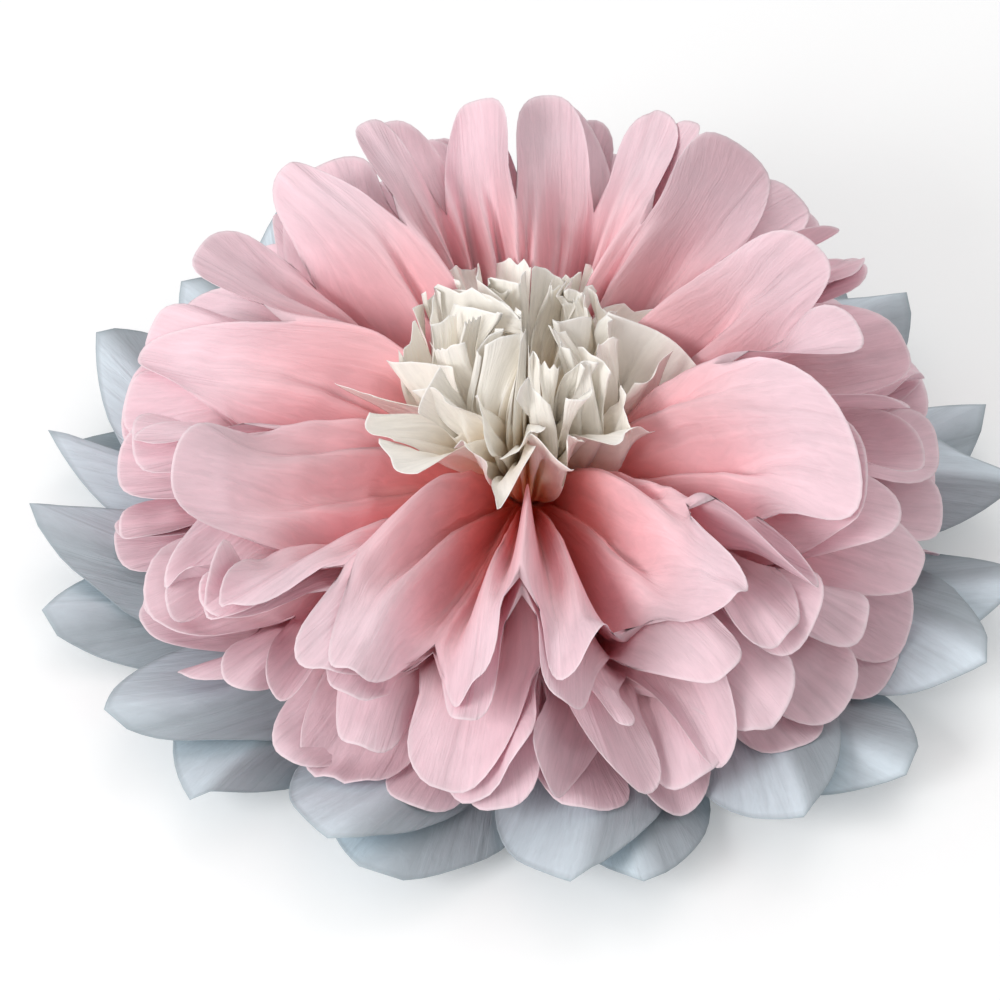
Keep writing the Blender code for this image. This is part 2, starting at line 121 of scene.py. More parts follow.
@dataclass(frozen=True)
class Knot:
    """Sizes of the knot where the waists of the sheets are gathered.

    Attributes:
        height: Height of its middle over the floor.
        width: Width of the widest waist.
        depth: Depth of the widest waist.
        rounding: How much taller the rounded knot is than the stack of waists.
        spring_reach: Reach at which the sheets leave the knot.
        side_slit: Gap between the two ends of a sheet at its sides.
        waist_edge: Bearing of the sides of a waist.
        lowest_spring: Lift at which the lowest sheet leaves the knot.
        highest_spring: Lift at which the highest sheet leaves it.
        pitch: Height from one waist to the next.
        sheets: Number of sheets.
        ruffle: Height of the small waves across a waist.
    """

    height: float = 0.020
    width: float = 0.0090
    depth: float = 0.0070
    rounding: float = 1.17
    spring_reach: float = 0.009
    side_slit: float = 0.0020
    waist_edge: float = math.radians(28)
    lowest_spring: float = math.radians(-36)
    highest_spring: float = math.radians(64)
    pitch: float = 0.0006
    sheets: int = 11
    ruffle: float = 0.00022

    def stack_height(self, level: int) -> float:
        """Height of a sheet's waist over the middle of the knot."""
        return (level - (self.sheets - 1) / 2) * self.pitch

    def spring_lift(self, level: int) -> float:
        """Lift at which a sheet leaves the knot."""
        return mix(self.lowest_spring, self.highest_spring, level / (self.sheets - 1))

    def hold(self, reach: float) -> float:
        """Share of the lift that the knot still sets at a reach."""
        return (self.spring_reach / reach) ** 1.5

    def waist_share(self, level: int) -> float:
        """Width of a waist as a share of the widest one."""
        half_height = self.pitch * (self.sheets - 1) / 2
        return math.sqrt(1 - (self.stack_height(level) / (self.rounding * half_height)) ** 2)

    def least_lift(self, reach: float) -> float:
        """Least angle that the solids keep between neighbouring sheets at a reach."""
        opened = ease(reach, self.spring_reach, 0.025)
        return mix(1.0, 2.4, opened) * self.pitch / reach + opened * math.radians(1.6)


KNOT = Knot()


def ease(value: float, low: float, high: float) -> float:
    """Rise smoothly from 0 at low to 1 at high."""
    share = min(max((value - low) / (high - low), 0.0), 1.0)
    return share * share * (3.0 - 2.0 * share)


def eased(values: np.ndarray, low: float, high: float) -> np.ndarray:
    """Rise smoothly from 0 at low to 1 at high, for each value of an array."""
    share = np.clip((values - low) / (high - low), 0.0, 1.0)
    return share * share * (3.0 - 2.0 * share)


def mix(first: float, second: float, share: float) -> float:
    """Value between two others."""
    return first + (second - first) * share


def fold_side(fold: int) -> float:
    """Half the pleat up for a hill fold, half down for a valley fold."""
    return 0.5 if fold % 2 else -0.5


def deselect_all() -> None:
    """Leave nothing selected, so that an operator reaches only the new piece."""
    bpy.ops.object.select_all(action="DESELECT")


@dataclass
class FoldPlan:
    """Where the folds of a sheet go, as bearings and lifts at rows of corners.

    It repeats the plan of the solids, so that the tissue lies where they do.

    Attributes:
        level: Number of the sheet from the lowest, which is 0.
        flat: The sheet before it is folded.
        twist: Turn of its ends round the flower, in degrees.
        loose_from: Share of the half length from which the folds stray.
        bearing_stray: Most that a fold strays sideways, as a share of a panel.
        lift_stray: Most that a fold, and its tip again, strays up or down, in degrees.
        pleat_share: Height of a pleat as a share of what the width of a panel allows.
        pleats_open: Share of the half length at which the pleats are fully open.
        stretch: Most that a panel may be as wide as, in widths of its cut.
        least_change: Change of lift across a panel that is always allowed, in degrees.
    """

    level: int
    flat: FlatSheet
    twist: float
    loose_from: float = 0.45
    bearing_stray: float = 0.34
    lift_stray: float = 5.0
    pleat_share: float = 0.72
    pleats_open: float = 0.42
    stretch: float = 1.04
    least_change: float = 5.0

    def __post_init__(self) -> None:
        """Draw the plan."""
        self.panels = self.flat.panels
        self.half_length = self.flat.length / 2
        self.notch = self.half_length - self.flat.end_length
        self.panel_width = self.flat.width / self.panels
        self.hand = random.Random(SEED + self.level)
        self.reaches = [KNOT.spring_reach, *self.inner_reaches(), self.notch, self.half_length]
        self.columns = [(End.FAR, fold) for fold in range(self.panels + 1)]
        self.columns += [(End.NEAR, fold) for fold in range(self.panels, -1, -1)]
        self.bearings, self.lifts = self.fan_out()

    def inner_reaches(self) -> list[float]:
        """Reaches of the rows of corners between the knot and the notches."""
        return [self.notch * share for share in (0.22, 0.44, 0.74)]

    def fan_out(self) -> tuple[list[list[float]], list[list[float]]]:
        """Lay out every fold from the knot to its tip.

        Returns:
            The bearings and the wanted lifts, row by row.
        """
        strays = self.draw_strays()
        spring = KNOT.spring_lift(self.level)
        twist = math.radians(self.twist)
        bearings, lifts = [], []
        for reach in self.reaches:
            loose = ease(reach, self.loose_from * self.half_length, self.half_length)
            row_bearings, row_lifts = [], []
            for (end, fold), (bearing_stray, lift_stray, tip_stray) in zip(self.columns, strays):
                slit = math.asin(KNOT.side_slit / 2 / reach)
                bearing = mix(slit, math.pi - slit, fold / self.panels)
                bearing = bearing if end is End.FAR else TURN - bearing
                bearing += loose * (twist + bearing_stray)
                lift = spring
                if reach > KNOT.spring_reach:
                    lift = self.wanted_lift(fold, bearing, reach, spring)
                lift += loose * lift_stray
                if reach == self.half_length:
                    lift += tip_stray
                row_bearings.append(bearing)
                row_lifts.append(lift)
            bearings.append(row_bearings)
            lifts.append(row_lifts)
        return bearings, lifts

    def draw_strays(self) -> list[tuple[float, float, float]]:
        """How far each fold strays from its even place, in bearing, in lift and at its tip."""
        strays = []
        for _, fold in self.columns:
            bearing_stray = self.hand.uniform(-1, 1) * self.bearing_stray * math.pi / self.panels
            if fold in (0, self.panels):
                bearing_stray = 0.0
            lift_stray = self.hand.uniform(-1, 1) * math.radians(self.lift_stray)
            tip_stray = self.hand.uniform(-1, 1) * math.radians(self.lift_stray)
            strays.append((bearing_stray, lift_stray, tip_stray))
        return strays

    def wanted_lift(self, fold: int, bearing: float, reach: float, spring: float) -> float:
        """Lift that a fold would have if no other sheet were in its way.

        Args:
            fold: Number of the fold.
            bearing: Its bearing.
            reach: Distance from the knot.
            spring: Lift at which the sheet leaves the knot.

        Returns:
            The lift in radians.
        """
        raise NotImplementedError

    def pleat_lift(self, lift: float, reach: float, tallest: float) -> float:
        """Angle between valley and hill folds that the width of a panel leaves.

        Args:
            lift: Lift of the sheet at this reach.
            reach: Distance from the knot.
            tallest: Most that the angle may be, in degrees.

        Returns:
            The angle in radians.
        """
        spread = reach * math.cos(lift) * math.pi / self.panels
        height = math.sqrt(max(self.panel_width**2 - spread**2, 0.0))
        full = math.asin(min(height / reach, 1.0))
        opening = ease(reach, KNOT.spring_reach, self.pleats_open * self.half_length)
        return min(self.pleat_share * full, math.radians(tallest) * opening)

    def creased_rows(self) -> int:
        """Number of rows of panels that are split from hill to valley."""
        return len(self.reaches) - 2

    def row_at(self, reach: float) -> int:
        """Row of corners at or below a reach."""
        return min(bisect.bisect_right(self.reaches, reach) - 1, len(self.reaches) - 2)

    def share_at(self, row: int, reach: float) -> float:
        """Share of the way from a row to the next one."""
        return (reach - self.reaches[row]) / (self.reaches[row + 1] - self.reaches[row])

    def is_hill(self, column: int) -> bool:
        """Whether a column of corners is a hill fold."""
        return self.columns[column][1] % 2 == 1

    def between(self, first: tuple[int, int], second: tuple[int, int], share: float) -> tuple[float, float]:
        """Bearing and lift between two corners, each given by its row and column."""
        bearing = mix(self.bearings[first[0]][first[1]], self.bearings[second[0]][second[1]], share)
        return bearing, mix(self.lifts[first[0]][first[1]], self.lifts[second[0]][second[1]], share)

    def ring_at(self, reach: float) -> list[tuple[float, float, int]]:
        """The sheet at a reach, all the way round, as (bearing, lift, column)."""
        row = self.row_at(reach)
        share = self.share_at(row, reach)
        ring = []
        for column in range(len(self.columns)):
            ring.append((*self.between((row, column), (row + 1, column), share), column))
            following = column + 1
            if following % (self.panels + 1) and row < self.creased_rows():
                hill, valley = (column, following) if self.is_hill(column) else (following, column)
                ring.append((*self.between((row, hill), (row + 1, valley), share), column))
        return ring

    def lift_at(self, bearing: float, ring: list[tuple[float, float, int]]) -> tuple[float, int]:
        """Lift on a ring of the sheet at any bearing, with the column that it follows."""
        start = ring[0][0]
        bearing = start + (bearing - start) % TURN
        place = bisect.bisect_right(ring, bearing, key=lambda corner: corner[0]) - 1
        low = ring[place]
        high = ring[(place + 1) % len(ring)]
        high_bearing = high[0] if high[0] > low[0] else high[0] + TURN
        return mix(low[1], high[1], (bearing - low[0]) / (high_bearing - low[0])), low[2]

    def rest_on(self, lower: "FoldPlan") -> None:
        """Raise the folds until the plan clears the one below everywhere."""
        for _ in range(CLEARING_ROUNDS):
            raised = 0.0
            for reach in self.test_reaches():
                if KNOT.spring_reach < reach <= lower.half_length:
                    least = KNOT.least_lift(reach)
                    lower_ring = lower.ring_at(reach)
                    for bearing, _, _ in self.ring_at(reach):
                        floor = lower.lift_at(bearing, lower_ring)[0] + least
                        raised = max(raised, self.clear(bearing, reach, floor))
                    for bearing, lift, _ in lower_ring:
                        raised = max(raised, self.clear(bearing, reach, lift + least))
            if raised < CLEAR_ENOUGH:
                return

    def ease_panels(self) -> None:
        """Level the folds until no panel is stretched wider than it was cut."""
        pairs = [column for column in range(len(self.columns) - 1) if (column + 1) % (self.panels + 1)]
        least = math.radians(self.least_change)
        for reach, bearings, lifts in zip(self.reaches, self.bearings, self.lifts):
            widest = 2 * math.asin(min(self.stretch / 2 * self.panel_width / reach, 1.0))
            for _ in range(EASING_ROUNDS):
                for column in pairs:
                    change = lifts[column + 1] - lifts[column]
                    level = (bearings[column + 1] - bearings[column]) * math.cos(lifts[column] + change / 2)
                    allowed = math.sqrt(max(widest**2 - level**2, least**2))
                    excess = math.copysign(max(abs(change) - allowed, 0.0), change)
                    lifts[column] += excess / 2
                    lifts[column + 1] -= excess / 2

    def test_reaches(self) -> list[float]:
        """Reaches at which neighbours are compared: first the rows, then between them."""
        bands = list(zip(self.reaches, self.reaches[1:]))
        return self.reaches + [mix(low, high, step / 4) for step in (1, 2, 3) for low, high in bands]

    def clear(self, bearing: float, reach: float, floor: float) -> float:
        """Raise the corners round a point of the plan, the nearest ones most.

        Args:
            bearing: Bearing of the point.
            reach: Reach of the point.
            floor: Least lift that it must have.

        Returns:
            How far the point was raised.
        """
        lift, column = self.lift_at(bearing, self.ring_at(reach))
        if lift >= floor:
            return 0.0
        row = self.row_at(reach)
        outward = self.share_at(row, reach)
        following = (column + 1) % len(self.columns)
        start, stop = (self.between((row, side), (row + 1, side), outward)[0] for side in (column, following))
        across = ((bearing - start) % TURN) / ((stop - start) % TURN)
        weights = {
            (row, column): (1 - outward) * (1 - across),
            (row, following): (1 - outward) * across,
            (row + 1, column): outward * (1 - across),
            (row + 1, following): outward * across,
        }
        total = sum(weight**2 for weight in weights.values())
        for (corner_row, corner_column), weight in weights.items():
            self.lifts[corner_row][corner_column] += (floor - lift) * weight / total
        return floor - lift


@dataclass
class PetalPlan(FoldPlan):
    """Folds of a petal sheet, which opens like a bowl and curls out at its tips.

    Attributes:
        lift: Lift of its petals, in degrees.
        lean: How much higher they stand on the side of the lean, in degrees.
        tallest_pleat: Most that a pleat may rise, in degrees.
        lean_bearing: Bearing of that side, in degrees.
        curl: How far the petals curl out from the knot to their tips, in degrees.
    """

    lift: float = 3.0
    lean: float = 3.0
    tallest_pleat: float = 24.0
    lean_bearing: float = 60.0
    curl: float = 8.0

    def wanted_lift(self, fold: int, bearing: float, reach: float, spring: float) -> float:
        """Springs from the knot, opens to the sheet's own lift and curls out at the tip."""
        own = math.radians(self.lift)
        lean = math.radians(self.lean) * math.cos(bearing - math.radians(self.lean_bearing))
        lift = mix(own + lean, spring, KNOT.hold(reach))
        lift += math.radians(self.curl) * (0.5 - (reach / self.half_length) ** 2)
        return lift + self.pleat_lift(own, reach, self.tallest_pleat) * fold_side(fold)


@dataclass
class LeafPlan(FoldPlan):
    """Folds of a leaf sheet: every hill fold is the crease of a leaf on the floor.

    Attributes:
        tallest_pleat: Most that a pleat may rise beside the knot, in degrees.
        rise_reach: Reach at which the leaves come down from the knot.
        touch_reach: Reach at which they come to the floor.
        floor_gap: Height of the lying leaves over the floor.
        crease_step: Height of the creases of a sheet over those of the one below.
    """

    tallest_pleat: float = 10.0
    rise_reach: float = 0.024
    touch_reach: float = 0.056
    floor_gap: float = 0.00015
    crease_step: float = 0.006

    def inner_reaches(self) -> list[float]:
        """The leaves rise and come down to the floor, and lie flat on it from the notches on."""
        return [self.rise_reach, self.touch_reach]

    def draw_strays(self) -> list[tuple[float, float, float]]:
        """Leaves stray only sideways, and both ends alike."""
        far_end = [(stray[0], 0.0, 0.0) for stray in super().draw_strays()[: self.panels + 1]]
        return far_end + far_end

    def wanted_lift(self, fold: int, bearing: float, reach: float, spring: float) -> float:
        """Comes down from the knot to the floor and lies on it at the end."""
        spring_height = KNOT.height + KNOT.spring_reach * math.sin(spring)
        left = 1 - ease(reach, KNOT.spring_reach, self.touch_reach)
        height = self.floor_gap + spring_height * left
        flat = ease(reach, self.touch_reach, self.notch)
        if fold % 2:
            height += self.crease_step * self.level * flat
        lift = math.asin((height - KNOT.height) / reach)
        return lift + self.pleat_lift(lift, reach, self.tallest_pleat) * (1 - flat) * (fold_side(fold) + 0.5)

    def between(self, first: tuple[int, int], second: tuple[int, int], share: float) -> tuple[float, float]:
        """Bearing and lift between two corners: a leaf is straight in height, to lie flat."""
        bearing = super().between(first, second, share)[0]
        reach = mix(self.reaches[first[0]], self.reaches[second[0]], share)
        heights = [self.reaches[row] * math.sin(self.lifts[row][column]) for row, column in (first, second)]
        return bearing, math.asin(mix(*heights, share) / reach)


@dataclass
class CentrePlan(FoldPlan):
    """Folds of a centre sheet, which stands up and ends in slit strips.

    Attributes:
        lift: Lift of its strips, in degrees.
        tallest_pleat: Most that a pleat may rise, in degrees.
        lean: How much higher they stand at the far side, in degrees.
    """

    lift: float = 54.0
    tallest_pleat: float = 11.0
    lean: float = -5.0

    def inner_reaches(self) -> list[float]:
        """One row halfway to the slits is enough for the short sheets."""
        return [self.notch * 0.5]

    def creased_rows(self) -> int:
        """The strips are split like the panels that they end."""
        return len(self.reaches) - 1

    def wanted_lift(self, fold: int, bearing: float, reach: float, spring: float) -> float:
        """Springs from the knot and stands up."""
        own = math.radians(self.lift)
        lift = mix(own + math.radians(self.lean) * math.sin(bearing), spring, KNOT.hold(reach))
        return lift + self.pleat_lift(own, reach, self.tallest_pleat) * fold_side(fold)


class Crumple:
    """A smooth field of seeded heights over a flat sheet, from -1 to 1."""

    def __init__(self, seed: int, cell: tuple[float, float], size: tuple[float, float]) -> None:
        """Draw the field.

        Args:
            seed: Seed of its numbers.
            cell: Width and length of a dent.
            size: Width and length of the sheet.
        """
        self.cell = cell
        self.size = size
        counts = [int(extent / step) + 4 for extent, step in zip(size, cell)]
        self.knots = np.random.default_rng(seed).uniform(-1, 1, counts)

    def at(self, across: np.ndarray, along: np.ndarray) -> np.ndarray:
        """Heights at places measured from the middle of the sheet."""
        x = (across + self.size[0] / 2) / self.cell[0] + 1
        y = (along + self.size[1] / 2) / self.cell[1] + 1
        column = np.clip(x.astype(int), 0, self.knots.shape[0] - 2)
        row = np.clip(y.astype(int), 0, self.knots.shape[1] - 2)
        x_share = eased(x - column, 0.0, 1.0)
        y_share = eased(y - row, 0.0, 1.0)
        low = self.knots[column, row] * (1 - x_share) + self.knots[column + 1, row] * x_share
        high = self.knots[column, row + 1] * (1 - x_share) + self.knots[column + 1, row + 1] * x_share
        return low * (1 - y_share) + high * y_share


@dataclass
class PanelHand:
    """How each panel of both ends was shaped by hand: rows are ends, columns are panels.

    Attributes:
        cup: Height of the middle of the panel.
        roll: Height by which it rolls to one side.
        curl: Upward curl of its tip, in radians.
        pinch: Share by which it is drawn in.
        swing: Turn of its tip, in radians.
        crease: Height of a crease along its middle.
    """

    cup: np.ndarray
    roll: np.ndarray
    curl: np.ndarray
    pinch: np.ndarray
    swing: np.ndarray
    crease: np.ndarray


class Heights:
    """Lifts of a sheet on an even net of reaches and bearings."""

    def __init__(self, longest: float, rings: int = 110, steps: int = 1440) -> None:
        """Lay out the net up to the longest reach."""
        self.reaches = np.linspace(KNOT.spring_reach, longest, rings)
        self.bearings = np.arange(steps) * TURN / steps
        self.raised = np.zeros((rings, steps))

    def sample(self, net: np.ndarray, reach: np.ndarray, bearing: np.ndarray) -> np.ndarray:
        """Values at any places, smoothly between the points of the net.

        Args:
            net: Values on the net.
            reach: Reaches of the places.
            bearing: Bearings of the places.

        Returns:
            The values, in the shape of the places.
        """
        rings, steps = net.shape
        x = (reach - self.reaches[0]) / (self.reaches[-1] - self.reaches[0]) * (rings - 1)
        x = np.clip(x, 0, rings - 1.001)
        y = (bearing % TURN) / TURN * steps
        ring = x.astype(int)
        step = y.astype(int) % steps
        following = (step + 1) % steps
        x_share, y_share = x - ring, y - np.floor(y)
        low = net[ring, step] * (1 - y_share) + net[ring, following] * y_share
        high = net[ring + 1, step] * (1 - y_share) + net[ring + 1, following] * y_share
        return low * (1 - x_share) + high * x_share


def gathers(reach: np.ndarray, bearing: np.ndarray, lift: float, fade: tuple[float, float]) -> np.ndarray:
    """Small pleats round the knot, which all sheets share because they are gathered together.

    Args:
        reach: Distances from the knot.
        bearing: Bearings round it.
        lift: How far they raise the paper, in degrees.
        fade: Reaches from which and at which they fade away.

    Returns:
        How far the pleats raise the paper, as an angle.
    """
    uneven = bearing + 0.05 * np.sin(3 * bearing + 1.0) + 0.03 * np.sin(7 * bearing)
    strength = math.radians(lift) * (0.9 + 0.35 * np.sin(5 * bearing + 2.0) * np.sin(3 * bearing))
    held = eased(reach, KNOT.spring_reach, 0.022) * (1 - eased(reach, *fade))
    return strength * held * np.sin(GATHERS * uneven)


def spread(values: np.ndarray, rings: int, steps: int) -> np.ndarray:
    """Widen what is raised on a net and soften its sides.

    Args:
        values: How far each place of the net is raised.
        rings: Reach of the widening, in rings.
        steps: Reach of the widening, in bearings.

    Returns:
        Values that are nowhere less than the given ones, give or take the softening.
    """
    widened = values
    for _ in range(rings):
        outward = np.vstack([widened[:1], widened[:-1]])
        inward = np.vstack([widened[1:], widened[-1:]])
        widened = np.maximum(widened, np.maximum(outward, inward) * (1 - 0.3 / rings))
    for _ in range(steps):
        sides = np.maximum(np.roll(widened, 1, axis=1), np.roll(widened, -1, axis=1))
        widened = np.maximum(widened, sides * (1 - 0.3 / steps))
    for _ in range(steps):
        widened = (np.roll(widened, 1, axis=1) + widened + np.roll(widened, -1, axis=1)) / 3
    for _ in range(rings):
        padded = np.vstack([widened[:1], widened, widened[-1:]])
        widened = (padded[:-2] + padded[1:-1] + padded[2:]) / 3
    return widened


def follow(table: np.ndarray, knots: np.ndarray, at: np.ndarray) -> np.ndarray:
    """Smooth curves through the rows of a table.

    Args:
        table: Values, one row for each knot and one column for each fold.
        knots: Where the rows lie.
        at: Where values are wanted, in the same columns.

    Returns:
        The values, in the shape of at.
    """
    steps = np.diff(knots)[:, None]
    slopes = np.diff(table, axis=0) / steps
    inner = (slopes[:-1] * steps[1:] + slopes[1:] * steps[:-1]) / (steps[:-1] + steps[1:])
    tangents = np.vstack([slopes[:1], inner, slopes[-1:]])
    row = np.clip(np.searchsorted(knots, at, side="right") - 1, 0, len(knots) - 2)
    column = np.broadcast_to(np.arange(table.shape[1]), at.shape)
    step = steps[row, 0]
    share = np.clip((at - knots[row]) / step, 0.0, 1.0)
    first, second = table[row, column], table[row + 1, column]
    start, stop = tangents[row, column] * step, tangents[row + 1, column] * step
    square, cube = share**2, share**3
    return (
        first * (2 * cube - 3 * square + 1)
        + start * (cube - 2 * square + share)
        + second * (3 * square - 2 * cube)
        + stop * (cube - square)
    )


class NodeBuilder:
    """Adds nodes to the tree of a material or world and links them."""

    def __init__(self, tree: bpy.types.NodeTree) -> None:
        """Start with an empty tree."""
        self.tree = tree
        tree.nodes.clear()

    def add(self, kind: str, inputs: dict | None = None, **options: object) -> bpy.types.Node:
        """Add a node.

        Args:
            kind: Type of the node.
            inputs: Sockets to link to its inputs, or their constants, by name or number.
            options: Its own settings.

        Returns:
            The new node.
        """
        node = self.tree.nodes.new(kind)
        for name, value in options.items():
            setattr(node, name, value)
        for name, value in (inputs or {}).items():
            if isinstance(value, Socket):
                self.tree.links.new(value, node.inputs[name])
            else:
                node.inputs[name].default_value = value
        return node

    def attribute(self, name: str) -> Socket:
        """Socket of a layer of the mesh."""
        return self.add("ShaderNodeAttribute", attribute_name=name).outputs["Fac"]

    def ramp(self, share: Socket, shades: tuple, blend: str = "EASE") -> Socket:
        """Colour that follows a share.

        Args:
            share: The share.
            shades: Pairs of a share and a colour.
            blend: How the colours run into each other.

        Returns:
            The colour.
        """
        node = self.add("ShaderNodeValToRGB", {"Fac": share})
        node.color_ramp.interpolation = blend
        while len(node.color_ramp.elements) < len(shades):
            node.color_ramp.elements.new(0.5)
        for element, (place, colour) in zip(node.color_ramp.elements, shades):
            element.position = place
            element.color = (*colour, 1.0)
        return node.outputs["Color"]

    def grain(self, flat: Socket, scale: Place, detail: float, bend: float) -> Socket:
        """Noise over the flat paper, drawn out along the folds.

        Args:
            flat: Flat place on the sheet.
            scale: Number of grains in a metre, across and along.
            detail: Fineness of the noise.
            bend: How far the grains wander.

        Returns:
            The noise.
        """
        place = self.add("ShaderNodeMapping", {"Vector": flat, "Scale": scale}).outputs["Vector"]
        values = {"Vector": place, "Scale": 1.0, "Detail": detail, "Distortion": bend}
        return self.add("ShaderNodeTexNoise", values, noise_dimensions="2D").outputs["Fac"]

    def span(self, value: Socket, source: Span, target: Span) -> Socket:
        """Value moved from one span to another."""
        ends = {"From Min": source[0], "From Max": source[1], "To Min": target[0], "To Max": target[1]}
        return self.add("ShaderNodeMapRange", {"Value": value, **ends}).outputs["Result"]

    def product(self, *values: Socket | float) -> Socket:
        """Product of values."""
        total = values[0]
        for value in values[1:]:
            total = self.add("ShaderNodeMath", {0: total, 1: value}, operation="MULTIPLY").outputs["Value"]
        return total

    def finish(self, surface: Socket, output: str = "ShaderNodeOutputMaterial") -> None:
        """Show a shader as the surface."""
        self.add(output, {"Surface": surface})


@dataclass(frozen=True)
class TissueFinish:
    """Look of one colour of tissue paper: its shades from the knot out to the rim.

    Attributes:
        slot: Material slot of the record.
        shades: Pairs of a share of the reach and a linear colour.
        rim: Colour of the thin cut edge: a painted highlight on the pink and ivory paper, a darker line on
            the grey-blue leaves.
        edge_highlight_and_line_strength: How strongly it shows.
        painted_shade_level: Brightness of the painted shade on every other panel, on the side of each hill
            fold turned away from the left lamp.
        through: Share of the light that passes through the paper.
        glow: Tint of the light that has passed through.
        noise_span: Values of the noises that count as lowest and highest.
        clouds: Brightness of the clouds in the colour, from the darkest to the brightest.
        fibres: Brightness of the fibres.
        creases: Brightness of the fine creases, following their relief: painted shade in the grooves, painted
            light on the ridges.
        relief: Height of the fibres against that of the creases.
        bump: Strength of the relief, and its height in metres.
        roughness: Roughness of the paper.
        sheen: Strength of its highlights.
    """

    slot: str
    shades: tuple[tuple[float, Colour], ...]
    rim: Colour
    edge_highlight_and_line_strength: float
    painted_shade_level: float
    through: float
    glow: Colour
    noise_span: Span = (0.3, 0.7)
    clouds: Span = (0.93, 1.04)
    fibres: Span = (0.965, 1.025)
    creases: Span = (0.93, 1.05)
    relief: float = 0.25
    bump: Span = (0.55, 0.0012)
    roughness: float = 0.62
    sheen: float = 0.18

    def material(self) -> bpy.types.Material:
        """Make the material: cloudy colour, fibres and fine creases along the folds, with painted shade and
        light in the creases, painted shade on one side of each hill fold, and a painted highlight along the
        cut edge (a darker line on the leaves).
        """
        material = bpy.data.materials.new(f"{self.slot}_look")
        material.use_nodes = True
        tree = NodeBuilder(material.node_tree)
        flat = tree.add("ShaderNodeUVMap", uv_map="flat_cut").outputs["UV"]
        cloud = tree.grain(flat, (40.0, 22.0, 1.0), 3.0, 0.0)
        fibre = tree.grain(flat, (900.0, 160.0, 1.0), 4.0, 0.6)
        crease = tree.grain(flat, (230.0, 16.0, 1.0), 4.0, 0.8)
        level = tree.product(
            tree.span(cloud, self.noise_span, self.clouds),
            tree.span(fibre, self.noise_span, self.fibres),
            # Painted shade and light: the crease noise that raises the bump also darkens its grooves and
            # lightens its ridges.
            tree.span(crease, self.noise_span, self.creases),
            # Painted shade on one side of each hill fold.
            tree.span(tree.attribute("painted_shade_half"), (0.0, 1.0), (1.0, self.painted_shade_level)),
        )
        shade = tree.ramp(tree.attribute("reach_share"), self.shades)
        scaled = {0: shade, "Scale": level}
        mottled_and_painted_shade = tree.add("ShaderNodeVectorMath", scaled, operation="SCALE").outputs["Vector"]
        # Painted highlight along the cut edge; on the leaves the rim colour makes a darker line.
        rim = tree.product(tree.attribute("edge_highlight_and_line_share"), self.edge_highlight_and_line_strength)
        blend = {"Factor": rim, "A": mottled_and_painted_shade, "B": (*self.rim, 1.0)}
        colour = tree.add("ShaderNodeMix", blend, data_type="RGBA").outputs["Result"]
        heights = {0: fibre, 1: self.relief, 2: crease}
        height = tree.add("ShaderNodeMath", heights, operation="MULTIPLY_ADD").outputs["Value"]
        relief = {"Strength": self.bump[0], "Distance": self.bump[1], "Height": height}
        normal = tree.add("ShaderNodeBump", relief).outputs["Normal"]
        paper = {"Base Color": colour, "Roughness": self.roughness, "Specular IOR Level": self.sheen}
        front = tree.add("ShaderNodeBsdfPrincipled", {**paper, "Normal": normal}).outputs["BSDF"]
        glow = {0: colour, 1: self.glow}
        tinted = tree.add("ShaderNodeVectorMath", glow, operation="MULTIPLY").outputs["Vector"]
        behind = tree.add("ShaderNodeBsdfTranslucent", {"Color": tinted, "Normal": normal}).outputs["BSDF"]
        both = {"Fac": self.through, 1: front, 2: behind}
        tree.finish(tree.add("ShaderNodeMixShader", both).outputs["Shader"])
        return material


PINK_TISSUE = TissueFinish(
    slot="pink_tissue",
    # Painted shade: the deep coral towards the knot stands in for the shade and coloured bounce light deep in
    # the folds round the hub.
    shades=(
        (0.10, (0.97, 0.26, 0.18)),
        (0.30, (0.98, 0.42, 0.41)),
        (0.56, (0.96, 0.59, 0.63)),
        (0.90, (0.91, 0.70, 0.76)),
    ),
    rim=(0.94, 0.85, 0.88),
    edge_highlight_and_line_strength=0.6,
    painted_shade_level=0.97,
    through=0.16,
    glow=(1.02, 0.89, 0.90),
)
BLUE_TISSUE = TissueFinish(
    slot="grey_blue_tissue",
    shades=(
        (0.05, (0.26, 0.33, 0.38)),
        (0.45, (0.45, 0.54, 0.60)),
        (0.80, (0.64, 0.73, 0.79)),
        (1.00, (0.70, 0.79, 0.85)),
    ),
    rim=(0.32, 0.37, 0.40),
    edge_highlight_and_line_strength=0.7,
    painted_shade_level=0.66,
    through=0.06,
    glow=(0.98, 1.0, 1.0),
)
IVORY_TISSUE = TissueFinish(
    slot="ivory_tissue",
    # Painted shade: the coral and peach towards the knot stand in for the shade and bounce light of the coral
    # hub round the strips.
    shades=(
        (0.18, (0.99, 0.34, 0.16)),
        (0.34, (0.99, 0.70, 0.44)),
        (0.48, (0.995, 0.91, 0.79)),
        (0.72, (0.995, 0.965, 0.91)),
    ),
    rim=(0.99, 0.98, 0.96),
    edge_highlight_and_line_strength=0.6,
    painted_shade_level=0.98,
    through=0.05,
    glow=(1.0, 0.97, 0.88),
)


